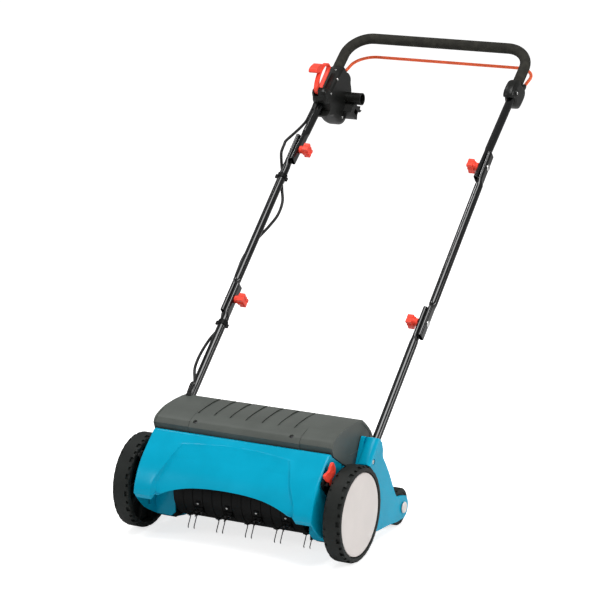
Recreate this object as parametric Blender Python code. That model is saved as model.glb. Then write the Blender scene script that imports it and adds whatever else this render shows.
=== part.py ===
# Electric lawn scarifier: a wheeled deck with a tine drum, and a handle that folds in two places.
# Metres, +Z up, +X to the right of the machine's nose, +Y towards the user.
# The origin lies on the ground, at the centre of the machine's outer box.

import math

import bmesh
import bpy
from mathutils import Matrix, Vector

# Driving dimensions
FRONT_AXLE_Y = -0.4512          # puts the middle of the whole length on the origin
GAP = 0.0003                    # between pieces that touch

WHEEL_R = 0.100                 # front wheels, 200 mm across
WHEEL_INNER_X = 0.2236
WHEEL_OUTER_X = 0.2626
WHEEL_SIDES = 32

REAR_WHEEL_R = 0.040
REAR_WHEEL_INNER_X = 0.2075
REAR_WHEEL_OUTER_X = 0.2405
REAR_AXLE = (0.240, 0.040)      # y and z, in the deck's frame
REAR_WHEEL_SIDES = 20

HOOD_X = 0.205                  # half width of the front hood
COVER_X = 0.207                 # half width of the motor cover
WALL = 0.003                    # moulded plastic walls
BAY_X = 0.1565                  # half width of the drum bay between the hood's bulkheads

DRUM_Y, DRUM_Z = 0.022, 0.100
DRUM_R = 0.064
DRUM_HALF = 0.150
TINE_R = 0.0962                 # the tips' distance from the drum's axis
TINE_PITCH = 0.068
TINE_ROWS = 6
TINE_WIRE_R = 0.0010
TINE_LEG = 0.0070                # half the distance between a tine's two legs

MOTOR_Y, MOTOR_Z, MOTOR_R = 0.115, 0.207, 0.036
DRUM_PULLEY_R, MOTOR_PULLEY_R = 0.0300, 0.0125
PULLEY_X = (-0.190, -0.176)

YOKE_Y, YOKE_Z = 0.045, 0.105   # the axis on which the front wheels' arms swing
ARM_X = (0.2075, 0.2190)        # the arms stand in the gap between hood and wheel
ROD_Y, ROD_Z = -0.060, 0.175    # the rod that joins both arms
YOKE_SWING = 11.5               # degrees
PIN_R = 0.0040

LOWER_FOLD = (0.370, 0.409)     # y and z of the lower fold's bolts
LOWER_LEAN = 48.4               # degrees from upright
UPPER_LEAN = 52.4
TUBE_R = 0.00925
TUBE_WALL = 0.0010
FLAT_X, FLAT_Y = 0.0050, 0.0118  # half thickness and half width of a tube's flattened end
FLAT_LENGTH = 0.036
LOWER_TUBE_X = 0.2265
MIDDLE_TUBE_X = 0.2368
FOLD_SPAN = 0.4223              # between the two folds
UPPER_FOLD = (LOWER_FOLD[0] + FOLD_SPAN * math.sin(math.radians(LOWER_LEAN)),
              LOWER_FOLD[1] + FOLD_SPAN * math.cos(math.radians(LOWER_LEAN)))
LOWER_TUBE_LENGTH = 0.360
GRIP_REACH = 0.361              # from the upper fold to the grip bar
GRIP_CORNER_R = 0.058
FOAM_R = 0.0125
FOAM_START = 0.276              # where the foam begins on the legs
BOLT_R = 0.0030

BAIL_PIVOT = (0.025, 0.251)     # behind the tube, and along it from the upper fold
BAIL_REST = 18.6                # degrees between the tube and the bail at rest
BAIL_REACH = 0.116
BAIL_WIRE_R = 0.0030
PIVOT_R = 0.0020
LOCK_PIVOT = (-0.038, 0.150)
INLET_X = -0.1615
INLET_AT = (0.0530, 0.2160)     # behind the tube, and along it
INLET_R, INLET_BORE_R = 0.0125, 0.0105

CABLE_R = 0.0033
CABLE_GAP = 0.0008              # where two stretches of the lead meet at a fold


# Scene and shared modelling steps
for old in list(bpy.data.objects):
    bpy.data.objects.remove(old, do_unlink=True)


def finish(name, rgb, roughness, metallic=0.0):
    """One plain Principled material."""
    made = bpy.data.materials.new(name)
    made.use_nodes = True
    shader = made.node_tree.nodes["Principled BSDF"]
    shader.inputs["Base Color"].default_value = (*rgb, 1.0)
    shader.inputs["Roughness"].default_value = roughness
    shader.inputs["Metallic"].default_value = metallic
    return made


BLUE = ("blue_plastic", (0.0, 0.38, 0.56), 0.30)
ANTHRACITE = ("anthracite_plastic", (0.13, 0.14, 0.13), 0.45)
BLACK = ("black_plastic", (0.012, 0.012, 0.012), 0.45)
TYRE = ("tyre_plastic", (0.022, 0.026, 0.024), 0.70)
GREY = ("grey_plastic", (0.68, 0.64, 0.62), 0.50)
RED = ("red_plastic", (0.74, 0.09, 0.04), 0.35)
ORANGE = ("orange_coating", (0.80, 0.12, 0.03), 0.35)
COATED = ("black_coating", (0.015, 0.016, 0.017), 0.28, 0.2)
STEEL = ("zinc_steel", (0.55, 0.55, 0.54), 0.35, 1.0)
FOAM = ("foam", (0.032, 0.030, 0.024), 0.90)
RUBBER = ("rubber", (0.014, 0.014, 0.014), 0.75)


def frame(name, place, parent=None, lean=0.0):
    """An empty that carries pieces; a lean tips its +Z towards +Y."""
    empty = bpy.data.objects.new(name, None)
    bpy.context.collection.objects.link(empty)
    empty.parent = parent
    empty.location = place
    empty.rotation_euler.x = -math.radians(lean)
    return empty


def piece(name, mesh, parent, look, flat_angle=35.0):
    """A named sub-part from a bmesh, with its own material."""
    bmesh.ops.recalc_face_normals(mesh, faces=mesh.faces)
    data = bpy.data.meshes.new(name)
    mesh.to_mesh(data)
    mesh.free()
    data.shade_smooth()
    data.set_sharp_from_angle(angle=math.radians(flat_angle))
    made = bpy.data.objects.new(name, data)
    bpy.context.collection.objects.link(made)
    made.parent = parent
    if look:
        data.materials.append(finish(f"{name}_{look[0]}", *look[1:]))
    return made


def shape_with(target, operation, mesh):
    """Cut a bmesh out of a piece, or melt it on, with an exact Boolean."""
    tool = piece(f"{target.name}_tool", mesh, target.parent, None)
    tool.hide_render = True
    tool.display_type = "WIRE"
    step = target.modifiers.new(operation.lower(), "BOOLEAN")
    step.operation = operation
    step.solver = "EXACT"
    step.object = tool


def cut(target, *meshes):
    for mesh in meshes:
        shape_with(target, "DIFFERENCE", mesh)


def melt(target, *meshes):
    for mesh in meshes:
        shape_with(target, "UNION", mesh)


def prism(outline, x0, x1):
    """A side view outline of (y, z) points, extruded from x0 to x1."""
    mesh = bmesh.new()
    face = mesh.faces.new([mesh.verts.new((x0, y, z)) for y, z in outline])
    pushed = bmesh.ops.extrude_face_region(mesh, geom=[face])["geom"]
    moved = [item for item in pushed if isinstance(item, bmesh.types.BMVert)]
    bmesh.ops.translate(mesh, verts=moved, vec=(x1 - x0, 0, 0))
    return mesh


def block(x0, x1, y0, y1, z0, z1):
    return prism([(y0, z0), (y1, z0), (y1, z1), (y0, z1)], x0, x1)


def both(*meshes):
    """Several separate bodies in one bmesh."""
    joined = bmesh.new()
    for mesh in meshes:
        data = bpy.data.meshes.new("part_of_group")
        mesh.to_mesh(data)
        mesh.free()
        joined.from_mesh(data)
        bpy.data.meshes.remove(data)
    return joined


def circle(radius, steps, y=0.0, z=0.0, turn=0.0):
    """Points of a circle in a side view."""
    return [(y + radius * math.cos(turn + math.tau * i / steps),
             z + radius * math.sin(turn + math.tau * i / steps)) for i in range(steps)]


def arc(radius, start, end, steps, y=0.0, z=0.0):
    """Points along an arc in a side view, with its angles in degrees from +Y towards +Z."""
    return [(y + radius * math.cos(math.radians(start + (end - start) * i / steps)),
             z + radius * math.sin(math.radians(start + (end - start) * i / steps)))
            for i in range(steps + 1)]


def rod(radius, x0, x1, y=0.0, z=0.0, steps=12, turn=0.0):
    return prism(circle(radius, steps, y, z, turn), x0, x1)


def turned(profile, steps, y=0.0, z=0.0, turn=0.0):
    """A closed ring profile of (x, radius) points, turned about an axis along X."""
    mesh = bmesh.new()
    rings = []
    for i in range(steps):
        angle = turn + math.tau * i / steps
        rings.append([mesh.verts.new((x, y + r * math.cos(angle), z + r * math.sin(angle)))
                      for x, r in profile])
    count = len(profile)
    for i in range(steps):
        here, after = rings[i], rings[(i + 1) % steps]
        for k in range(count):
            mesh.faces.new((here[k], here[(k + 1) % count], after[(k + 1) % count], after[k]))
    return mesh


def capped(profile, steps, y=0.0, z=0.0, turn=0.0):
    """An open profile of (x, radius) points, turned about X and closed with flat ends."""
    mesh = bmesh.new()
    rings = [[mesh.verts.new((x, y + r * math.cos(turn + math.tau * i / steps),
                              z + r * math.sin(turn + math.tau * i / steps)))
              for i in range(steps)] for x, r in profile]
    for here, after in zip(rings, rings[1:]):
        for i in range(steps):
            mesh.faces.new((here[i], here[(i + 1) % steps], after[(i + 1) % steps], after[i]))
    mesh.faces.new(rings[0])
    mesh.faces.new(rings[-1])
    return mesh


def pipe(stations, steps=12):
    """A hollow tube. A station is its centre, its heading in the XZ plane, and the half sizes
    across (along X on a straight leg) and in depth (along Y), outside and inside."""
    mesh = bmesh.new()
    skins = ([], [])
    for centre, heading, outer, inner in stations:
        across = Vector((heading.z, 0, -heading.x))
        for skin, (half_across, half_depth) in zip(skins, (outer, inner)):
            ring = []
            for i in range(steps):
                angle = math.tau * (i + 0.5) / steps
                point = centre + across * half_across * math.cos(angle)
                ring.append(mesh.verts.new(point + Vector((0, half_depth * math.sin(angle), 0))))
            skin.append(ring)
    for skin in skins:
        for here, after in zip(skin, skin[1:]):
            for i in range(steps):
                j = (i + 1) % steps
                mesh.faces.new((here[i], here[j], after[j], after[i]))
    for end in (0, -1):
        outside, inside = skins[0][end], skins[1][end]
        for i in range(steps):
            j = (i + 1) % steps
            mesh.faces.new((outside[i], outside[j], inside[j], inside[i]))
    return mesh


def wire(points, radius, steps=6):
    """A solid wire or rod through the points, each ring square to the run."""
    mesh = bmesh.new()
    side = None
    rings = []
    for i, point in enumerate(points):
        ahead = points[min(i + 1, len(points) - 1)] - points[max(i - 1, 0)]
        ahead.normalize()
        if side is None:
            side = ahead.orthogonal().normalized()
        side = (side - ahead * side.dot(ahead)).normalized()
        other = ahead.cross(side)
        rings.append([mesh.verts.new(point + radius * (side * math.cos(math.tau * k / steps)
                                                       + other * math.sin(math.tau * k / steps)))
                      for k in range(steps)])
    for here, after in zip(rings, rings[1:]):
        for k in range(steps):
            mesh.faces.new((here[k], here[(k + 1) % steps], after[(k + 1) % steps], after[k]))
    mesh.faces.new(rings[0])
    mesh.faces.new(rings[-1])
    return mesh


def smooth_line(points, per_span):
    """Points on a smooth curve (Catmull and Rom's) through the given ones."""
    ends = [2 * points[0] - points[1], *points, 2 * points[-1] - points[-2]]
    line = []
    for i in range(1, len(ends) - 2):
        before, start, stop, after = ends[i - 1:i + 3]
        for k in range(per_span):
            t = k / per_span
            line.append(0.5 * (2 * start + (stop - before) * t
                               + (2 * before - 5 * start + 4 * stop - after) * t * t
                               + (3 * start - before - 3 * stop + after) * t ** 3))
    line.append(points[-1])
    return line


def lead(name, points, parent, per_span=2):
    """A stretch of the mains lead: a bevelled curve with filled ends."""
    curve = bpy.data.curves.new(name, "CURVE")
    curve.dimensions = "3D"
    curve.bevel_depth = CABLE_R
    curve.bevel_resolution = 2
    curve.use_fill_caps = True
    line = smooth_line([Vector(point) for point in points], per_span)
    spline = curve.splines.new("POLY")
    spline.points.add(len(line) - 1)
    for knot, point in zip(spline.points, line):
        knot.co = (*point, 1.0)
    made = bpy.data.objects.new(name, curve)
    bpy.context.collection.objects.link(made)
    made.parent = parent
    curve.materials.append(finish(f"{name}_{RUBBER[0]}", *RUBBER[1:]))


SIDES = (("left", -1), ("right", 1))

deck = frame("deck_frame", (0, FRONT_AXLE_Y, 0))
lower = frame("lower_fold_frame", (0, *LOWER_FOLD), deck, LOWER_LEAN)
upper = frame("upper_fold_frame", (0, *UPPER_FOLD), deck, UPPER_LEAN)


# Front hood: a shell that curves down to a lip, open below. Beside the drum bay a bulkhead
# closes each end's rear, where the belt runs on the left
HOOD_FRONT = [(-0.0152, 0.2232), (-0.024, 0.2225), (-0.046, 0.204), (-0.075, 0.178),
              (-0.094, 0.153), (-0.107, 0.125), (-0.110, 0.108)]
HOOD_CHEEK = [(-0.072, 0.0665), (-0.003, 0.029)]
HOOD_BACK = [(0.030, 0.027), (0.030, 0.1895), (-0.0125, 0.2165)]
HOOD_INSIDE = [(-0.0150, 0.2200), (-0.0225, 0.2192), (-0.0437, 0.2015), (-0.0725, 0.1757),
               (-0.0913, 0.1515), (-0.1041, 0.1240), (-0.1070, 0.1090)]
ARCH_TOP = 0.1378
BULKHEAD_Y = (-0.0200, -0.0170)


def arch_z(x):
    """The lower edge of the hood in front of the drum."""
    return ARCH_TOP - 0.60 * x ** 2 - 28.0 * x ** 4


def arch_cutter():
    mesh = bmesh.new()
    steps = 12
    line = [-BAY_X + 2 * BAY_X * i / steps for i in range(steps + 1)]
    outline = [(x, arch_z(x)) for x in line] + [(BAY_X, -0.02), (-BAY_X, -0.02)]
    face = mesh.faces.new([mesh.verts.new((x, -0.20, z)) for x, z in outline])
    pushed = bmesh.ops.extrude_face_region(mesh, geom=[face])["geom"]
    moved = [item for item in pushed if isinstance(item, bmesh.types.BMVert)]
    bmesh.ops.translate(mesh, verts=moved, vec=(0, 0.40, 0))
    return mesh


def swing_slot(clearance):
    """The path of the cross rod through a side wall, as a side view outline."""
    reach = math.hypot(ROD_Y - YOKE_Y, ROD_Z - YOKE_Z)
    rest = math.degrees(math.atan2(ROD_Z - YOKE_Z, ROD_Y - YOKE_Y))
    start, end = rest + 4.0, rest - YOKE_SWING - 4.0
    return (arc(reach + clearance, start, end, 6, YOKE_Y, YOKE_Z)
            + arc(reach - clearance, end, start, 6, YOKE_Y, YOKE_Z))


hood = piece("front_hood", prism(HOOD_FRONT + HOOD_CHEEK + HOOD_BACK, -HOOD_X, HOOD_X), deck, BLUE)
cut(hood,
    prism(HOOD_INSIDE + [(-0.1070, 0.0), (0.040, 0.0), (0.040, 0.24), (-0.0150, 0.24)],
          -BAY_X, BAY_X),
    arch_cutter())
for side, s in SIDES:
    cut(hood, prism(HOOD_INSIDE[1:] + [(-0.1070, 0.0), (BULKHEAD_Y[0], 0.0),
                                       (BULKHEAD_Y[0], HOOD_INSIDE[1][1])],
                    s * (BAY_X - 0.001), s * (HOOD_X - WALL)))
cut(hood,
    block(-HOOD_X + WALL, HOOD_X - WALL, BULKHEAD_Y[1], 0.05, 0.0325, 0.24),
    prism(swing_slot(0.0065), -0.21, 0.21))


# Side frames: an inner wall, and an arm that holds the handle tube and the rear wheel
ARM_WHEEL_CLEARANCE = 0.1060
ARM_ARC_Z = WHEEL_R + 0.0045     # half way up the wheel's travel in the height setting
ARM_OUTLINE = (
    [(0.1110, 0.2235), (0.0770, 0.1880)]
    + arc(ARM_WHEEL_CLEARANCE, 46.0, -32.0, 8, 0.0, ARM_ARC_Z)
    + [(0.0960, 0.0300), (0.1200, 0.0260), (0.1750, 0.0214), (0.2085, 0.0163)]
    + arc(0.0262, -75.0, 55.0, 6, REAR_AXLE[0], REAR_AXLE[1])
    + [(0.2366, 0.0667), (0.2075, 0.0745), (0.1730, 0.1314), (0.1390, 0.1810),
       (0.1390, 0.2060), (0.1310, 0.2180), (0.1220, 0.2250), (0.1160, 0.2262)])
ARM_INNER_X, ARM_OUTER_X = 0.2075, 0.2475
# The arm is hollow below the tube's socket, and open underneath
ARM_POCKET = [(0.1040, 0.0), (0.1040, 0.0600), (0.1110, 0.1000), (0.1060, 0.1350), (0.1120, 0.1500),
              (0.1460, 0.1500), (0.1660, 0.1260), (0.1860, 0.0900), (0.1900, 0.0600), (0.1850, 0.0)]
ARM_POCKET_X = (0.2115, 0.2440)
# In front of the tube the shoulder stands clear of the cover's end
SHOULDER_STEP = [(0.1210, 0.2400), (0.0880, 0.1740), (0.0700, 0.1740), (0.0700, 0.2400)]
SHOULDER_X = 0.2172
FRAME_WALL = [(0.0310, 0.0300), (0.0310, 0.1870), (0.0600, 0.1760), (0.1000, 0.1630),
              (0.1850, 0.1470), (0.1800, 0.1200), (0.1950, 0.0900), (0.1950, 0.0300)]
FRAME_WALL_X = (0.1990, 0.2070)
FRAME_JOIN = [(0.1120, 0.0320), (0.1120, 0.1440), (0.1640, 0.1440), (0.1920, 0.0900),
              (0.1920, 0.0320)]
WHEEL_PLATE_X = 0.2412
TUBE_STOP = -0.3560             # how deep the tube's bore goes, along the tube from the lower fold


def along_lower(length):
    """The y and z of a point on the lower tubes' axis, at a distance from the lower fold."""
    lean = math.radians(LOWER_LEAN)
    return (LOWER_FOLD[0] + length * math.sin(lean), LOWER_FOLD[1] + length * math.cos(lean))


def leaning_cylinder(radius, x, start, end, steps=16):
    """A cutter along the lower tubes' axis, in the deck's frame."""
    ends = [Vector((x, *along_lower(length))) for length in (start, end)]
    return wire(ends, radius, steps)


for side, s in SIDES:
    arm = piece(f"side_frame_{side}", prism(ARM_OUTLINE, s * ARM_INNER_X, s * ARM_OUTER_X), deck,
                BLUE)
    melt(arm,
         prism(FRAME_WALL, s * FRAME_WALL_X[0], s * FRAME_WALL_X[1]),
         prism(FRAME_JOIN, s * FRAME_WALL_X[0], s * (ARM_INNER_X + 0.0010)),
         rod(0.0135, s * 0.2440, s * 0.2495, *REAR_AXLE, steps=16),
         rod(PIN_R, s * 0.2060, s * 0.2145, YOKE_Y, YOKE_Z),
         rod(0.0070, s * 0.2140, s * 0.2160, YOKE_Y, YOKE_Z))
    cut(arm,
        leaning_cylinder(TUBE_R + GAP, s * LOWER_TUBE_X, TUBE_STOP, -0.20),
        prism(arc(REAR_WHEEL_R + 0.0035, 90.0, 200.0, 8, *REAR_AXLE)
              + [(0.1990, -0.02), (0.300, -0.02), (0.300, 0.0835)], s * 0.19, s * WHEEL_PLATE_X),
        rod(0.0054, s * 0.23, s * 0.26, *REAR_AXLE),
        prism(ARM_POCKET, s * ARM_POCKET_X[0], s * ARM_POCKET_X[1]),
        prism(SHOULDER_STEP, s * (ARM_INNER_X - 0.001), s * SHOULDER_X))

# Rear panel: closes the deck between the side frames, below the cover
piece("rear_panel",
      prism([(0.1580, 0.1240), (0.1625, 0.1200), (0.1795, 0.1370), (0.1805, 0.1464),
             (0.1770, 0.1464), (0.1755, 0.1395)],
            -FRAME_WALL_X[0] + GAP, FRAME_WALL_X[0] - GAP), deck, BLUE)


# Motor cover: a shell over the motor, screwed on at the front
COVER_OUTLINE = [(-0.0125, 0.2186), (-0.0193, 0.2367), (-0.0150, 0.2440), (-0.0060, 0.2506),
                 (0.0260, 0.2595), (0.0714, 0.2625), (0.1120, 0.2612), (0.1285, 0.2550),
                 (0.1630, 0.2260), (0.1780, 0.2000), (0.1865, 0.1700), (0.1875, 0.1490)]
COVER_SIDE_EDGE = [(0.1000, 0.1650), (0.0600, 0.1780), (0.0300, 0.1910)]
COVER_INSIDE = [(-0.0040, 0.2210), (-0.0155, 0.2370), (-0.0122, 0.2421), (-0.0045, 0.2478),
                (0.0268, 0.2565), (0.0714, 0.2595), (0.1105, 0.2583), (0.1268, 0.2525),
                (0.1605, 0.2242), (0.1752, 0.1988), (0.1835, 0.1695), (0.1845, 0.1300)]
cover = piece("motor_cover", prism(COVER_OUTLINE + COVER_SIDE_EDGE, -COVER_X, COVER_X), deck,
              ANTHRACITE)
cut(cover, prism(COVER_INSIDE + [(0.0300, 0.1300), (-0.0040, 0.1900)],
                 -COVER_X + WALL, COVER_X - WALL))


# Drum bay: bearing plates at both ends, and a curved shroud over the drum
BEARING_R, BEARING_BORE_R = 0.0130, 0.0063
PLATE_X = (0.1566, 0.1614)
PLATE_OUTLINE = [(BULKHEAD_Y[1] + GAP, 0.0345), (0.1150, 0.0345), (0.1350, 0.1100),
                 (0.1540, 0.1700), (0.1540, 0.2180), (0.1420, 0.2320), (0.1000, 0.2440),
                 (0.0700, 0.2300), (0.0500, 0.2050), (BULKHEAD_Y[1] + GAP, 0.1500)]
SHROUD_R = 0.0990
MOTOR_SHAFT_R = 0.0050

for side, s in SIDES:
    plate = piece(f"bearing_plate_{side}", prism(PLATE_OUTLINE, s * PLATE_X[0], s * PLATE_X[1]),
                  deck, BLACK)
    cut(plate, rod(BEARING_R + GAP, s * 0.15, s * 0.18, DRUM_Y, DRUM_Z, steps=20))
    if s < 0:
        cut(plate, rod(MOTOR_SHAFT_R + 0.002, s * 0.15, s * 0.18, MOTOR_Y, MOTOR_Z))
    piece(f"drum_bearing_{side}",
          turned([(s * 0.1550, BEARING_BORE_R), (s * 0.1624, BEARING_BORE_R), (s * 0.1624, BEARING_R),
                  (s * 0.1550, BEARING_R)], 20, DRUM_Y, DRUM_Z), deck, STEEL)
piece("drum_shroud",
      prism(arc(SHROUD_R + WALL, 154.0, -18.0, 20, DRUM_Y, DRUM_Z)
            + arc(SHROUD_R, -18.0, 154.0, 20, DRUM_Y, DRUM_Z),
            -PLATE_X[0] + GAP, PLATE_X[0] - GAP), deck, BLACK)


# Tine drum: a turned roller on a steel shaft, with pairs of spring tines let into it
SHAFT_R = 0.0060
DRUM_HUB_R, DRUM_WALL, DRUM_WEB, DRUM_EDGE = 0.0140, 0.0060, 0.0060, 0.0040
DRUM_SHELL_R = DRUM_R - DRUM_WALL
drum_profile = [(-DRUM_HALF, SHAFT_R + GAP), (DRUM_HALF, SHAFT_R + GAP), (DRUM_HALF, DRUM_HUB_R),
                (DRUM_WEB, DRUM_HUB_R), (DRUM_WEB, DRUM_SHELL_R), (DRUM_HALF, DRUM_SHELL_R),
                (DRUM_HALF, DRUM_R - DRUM_EDGE), (DRUM_HALF - DRUM_EDGE, DRUM_R),
                (-DRUM_HALF + DRUM_EDGE, DRUM_R), (-DRUM_HALF, DRUM_R - DRUM_EDGE),
                (-DRUM_HALF, DRUM_SHELL_R), (-DRUM_WEB, DRUM_SHELL_R), (-DRUM_WEB, DRUM_HUB_R),
                (-DRUM_HALF, DRUM_HUB_R)]
drum = piece("tine_drum", turned(drum_profile, 24, DRUM_Y, DRUM_Z), deck, BLACK)
piece("drum_shaft", rod(SHAFT_R, -0.1935, 0.1700, DRUM_Y, DRUM_Z, 16), deck, STEEL)


def tine_places():
    """The x and the angle of every tine; each row is set a third of a pitch on from the last."""
    for row in range(TINE_ROWS):
        shift = (row % 3) * TINE_PITCH / 3
        for k in range(5 if row % 3 == 0 else 4):
            yield -2 * TINE_PITCH + k * TINE_PITCH + shift, math.tau * row / TINE_ROWS - math.pi / 2


def on_drum(x, radius, ahead, angle):
    """A point at a radius, and at a distance ahead of it, in the drum's turning plane."""
    out = Vector((0, math.cos(angle), math.sin(angle)))
    forward = Vector((0, math.sin(angle), -math.cos(angle)))
    return Vector((x, DRUM_Y, DRUM_Z)) + out * radius + forward * ahead


def tine_leg(x, angle):
    """One leg of spring wire, bent forward at the tip, with its root in the roller."""
    run = [(TINE_R, 0.0060), (TINE_R - 0.010, -0.0010), (DRUM_R + 0.0060, -0.0030),
           (DRUM_R - 0.0050, -0.0020)]
    return wire([on_drum(x, radius, ahead, angle) for radius, ahead in run], TINE_WIRE_R, 4)


melt(drum, both(*(tine_leg(x + across, angle)
                  for x, angle in tine_places() for across in (-TINE_LEG, TINE_LEG))))


# Belt drive at the left end: motor, pulleys and belt
def pulley(radius, bore, x0, x1, steps, y, z):
    return turned([(x0, bore), (x1, bore), (x1, radius), (x0, radius)], steps, y, z)


def belt_line(drum_r, motor_r):
    """The open belt round both pulleys, as a side view outline."""
    span = math.hypot(MOTOR_Y - DRUM_Y, MOTOR_Z - DRUM_Z)
    heading = math.degrees(math.atan2(MOTOR_Z - DRUM_Z, MOTOR_Y - DRUM_Y))
    spread = math.degrees(math.acos((drum_r - motor_r) / span))
    return (arc(drum_r, heading + 360.0 - spread, heading + spread, 16, DRUM_Y, DRUM_Z)
            + arc(motor_r, heading + spread, heading - spread, 10, MOTOR_Y, MOTOR_Z))


piece("drum_pulley", pulley(DRUM_PULLEY_R, SHAFT_R + GAP, *PULLEY_X, 24, DRUM_Y, DRUM_Z), deck,
      ANTHRACITE)
piece("motor_pulley", pulley(MOTOR_PULLEY_R, MOTOR_SHAFT_R + GAP, *PULLEY_X, 16, MOTOR_Y, MOTOR_Z),
      deck, STEEL)
belt = piece("drive_belt", prism(belt_line(DRUM_PULLEY_R + 0.0030, MOTOR_PULLEY_R + 0.0030),
                                 PULLEY_X[0] + 0.001, PULLEY_X[1] - 0.001), deck, RUBBER)
cut(belt, prism(belt_line(DRUM_PULLEY_R + 0.0006, MOTOR_PULLEY_R + 0.0006),
                PULLEY_X[0] - 0.01, PULLEY_X[1] + 0.01))
MOTOR_X = (-0.1560, 0.0100)
STATOR_BORE_R, ROTOR_R = 0.0300, 0.0240
ROTOR_X = (-0.1400, -0.0050)
piece("motor_can",
      turned([(MOTOR_X[0], STATOR_BORE_R), (MOTOR_X[1], STATOR_BORE_R), (MOTOR_X[1], MOTOR_R),
              (MOTOR_X[0], MOTOR_R)], 24, MOTOR_Y, MOTOR_Z), deck, STEEL)
piece("motor_rotor",
      capped([(-0.1925, MOTOR_SHAFT_R), (ROTOR_X[0], MOTOR_SHAFT_R), (ROTOR_X[0], ROTOR_R),
              (ROTOR_X[1], ROTOR_R), (ROTOR_X[1], MOTOR_SHAFT_R), (MOTOR_X[1], MOTOR_SHAFT_R)],
             16, MOTOR_Y, MOTOR_Z), deck, STEEL)


# Rear flap: hangs behind the drum and stops what the tines throw
FLAP_PIN = (0.1500, 0.1150)
flap = piece("rear_flap",
             prism(arc(0.0045, 150.0, 30.0, 4, *FLAP_PIN)
                   + [(0.1515, 0.1050), (0.1515, 0.0340), (0.1485, 0.0340), (0.1485, 0.1050)],
                   -0.1560, 0.1560), deck, RUBBER)
melt(flap, rod(0.0030, -0.1980, 0.1980, *FLAP_PIN, steps=8))


# Height setting: two arms and a rod that carry the front wheels, with a red lever
STUB_R = 0.0060
YOKE_ARM = (arc(0.0150, -90.0, 60.0, 6, YOKE_Y, YOKE_Z)
            + [(0.0100, 0.1420), (ROD_Y + 0.010, ROD_Z + 0.008)]
            + arc(0.0100, 60.0, 220.0, 5, ROD_Y, ROD_Z)
            + [(-0.0240, 0.1250)]
            + arc(0.0170, 170.0, 270.0, 5, 0.0, WHEEL_R))
LEVER = [(-0.0250, 0.1990), (-0.0330, 0.2130), (-0.0385, 0.2145), (-0.0450, 0.2100),
         (-0.0520, 0.2015), (-0.0700, 0.1990), (-0.0720, 0.1935), (-0.0640, 0.1850),
         (-0.0480, 0.1700), (-0.0440, 0.1705), (-0.0400, 0.1800), (-0.0280, 0.1880)]

for side, s in SIDES:
    arm = piece(f"wheel_arm_{side}", prism(YOKE_ARM, s * ARM_X[0], s * (ARM_X[0] + 0.0050)), deck,
                BLACK)
    melt(arm, rod(STUB_R, s * (ARM_X[0] + 0.0010), s * 0.2560, 0.0, WHEEL_R, 12))
    cut(arm,
        rod(PIN_R + GAP, s * 0.20, s * 0.22, YOKE_Y, YOKE_Z),
        rod(0.0043, s * 0.20, s * 0.22, ROD_Y, ROD_Z))
piece("cross_rod", rod(0.0040, -ARM_X[1], ARM_X[1], ROD_Y, ROD_Z, 12), deck, STEEL)
lever = piece("height_lever", prism(LEVER, ARM_X[0] + 0.0053, ARM_X[1]), deck, RED)
cut(lever, rod(0.0043, 0.20, 0.23, ROD_Y, ROD_Z))


# Front wheels: a one-piece tyre and web, and a pale disc that closes the outer side
HUB_R, RIM_R, DISC_R = 0.0150, 0.0880, 0.0868
FLAT_DOWN = -math.pi / 2 + math.pi / WHEEL_SIDES
TREAD_R = WHEEL_R / math.cos(math.pi / WHEEL_SIDES)
REAR_TREAD_R = REAR_WHEEL_R / math.cos(math.pi / REAR_WHEEL_SIDES)

for side, s in SIDES:
    wheel = [(WHEEL_INNER_X, RIM_R), (0.2440, RIM_R), (0.2440, HUB_R), (0.2250, HUB_R),
             (0.2250, STUB_R + GAP), (0.2550, STUB_R + GAP), (0.2550, HUB_R), (0.2480, HUB_R),
             (0.2480, RIM_R), (WHEEL_OUTER_X, RIM_R), (WHEEL_OUTER_X, TREAD_R - 0.0050),
             (WHEEL_OUTER_X - 0.004, TREAD_R), (WHEEL_INNER_X + 0.004, TREAD_R),
             (WHEEL_INNER_X, TREAD_R - 0.0050)]
    piece(f"front_wheel_{side}",
          turned([(s * x, r) for x, r in wheel], WHEEL_SIDES, 0.0, WHEEL_R, FLAT_DOWN), deck, TYRE)
    piece(f"wheel_disc_{side}",
          capped([(s * 0.2575, DISC_R), (s * 0.2612, DISC_R), (s * 0.2622, DISC_R - 0.004),
                  (s * 0.2626, 0.0400)], WHEEL_SIDES, 0.0, WHEEL_R, FLAT_DOWN), deck, GREY)


# Rear wheels on one steel axle, with a pale cap at each end
for side, s in SIDES:
    rear = [(REAR_WHEEL_INNER_X, 0.0053), (REAR_WHEEL_OUTER_X, 0.0053),
            (REAR_WHEEL_OUTER_X, REAR_TREAD_R - 0.003), (REAR_WHEEL_OUTER_X - 0.003, REAR_TREAD_R),
            (REAR_WHEEL_INNER_X + 0.003, REAR_TREAD_R), (REAR_WHEEL_INNER_X, REAR_TREAD_R - 0.003)]
    piece(f"rear_wheel_{side}",
          turned([(s * x, r) for x, r in rear], REAR_WHEEL_SIDES, *REAR_AXLE,
                 -math.pi / 2 + math.pi / REAR_WHEEL_SIDES), deck, TYRE)
    piece(f"rear_axle_cap_{side}",
          capped([(s * (0.2495 + GAP), 0.0120), (s * 0.2515, 0.0120), (s * 0.2528, 0.0095)],
                 16, *REAR_AXLE), deck, GREY)
piece("rear_axle", rod(0.0050, -0.2490, 0.2490, *REAR_AXLE, steps=12), deck, STEEL)


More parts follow.
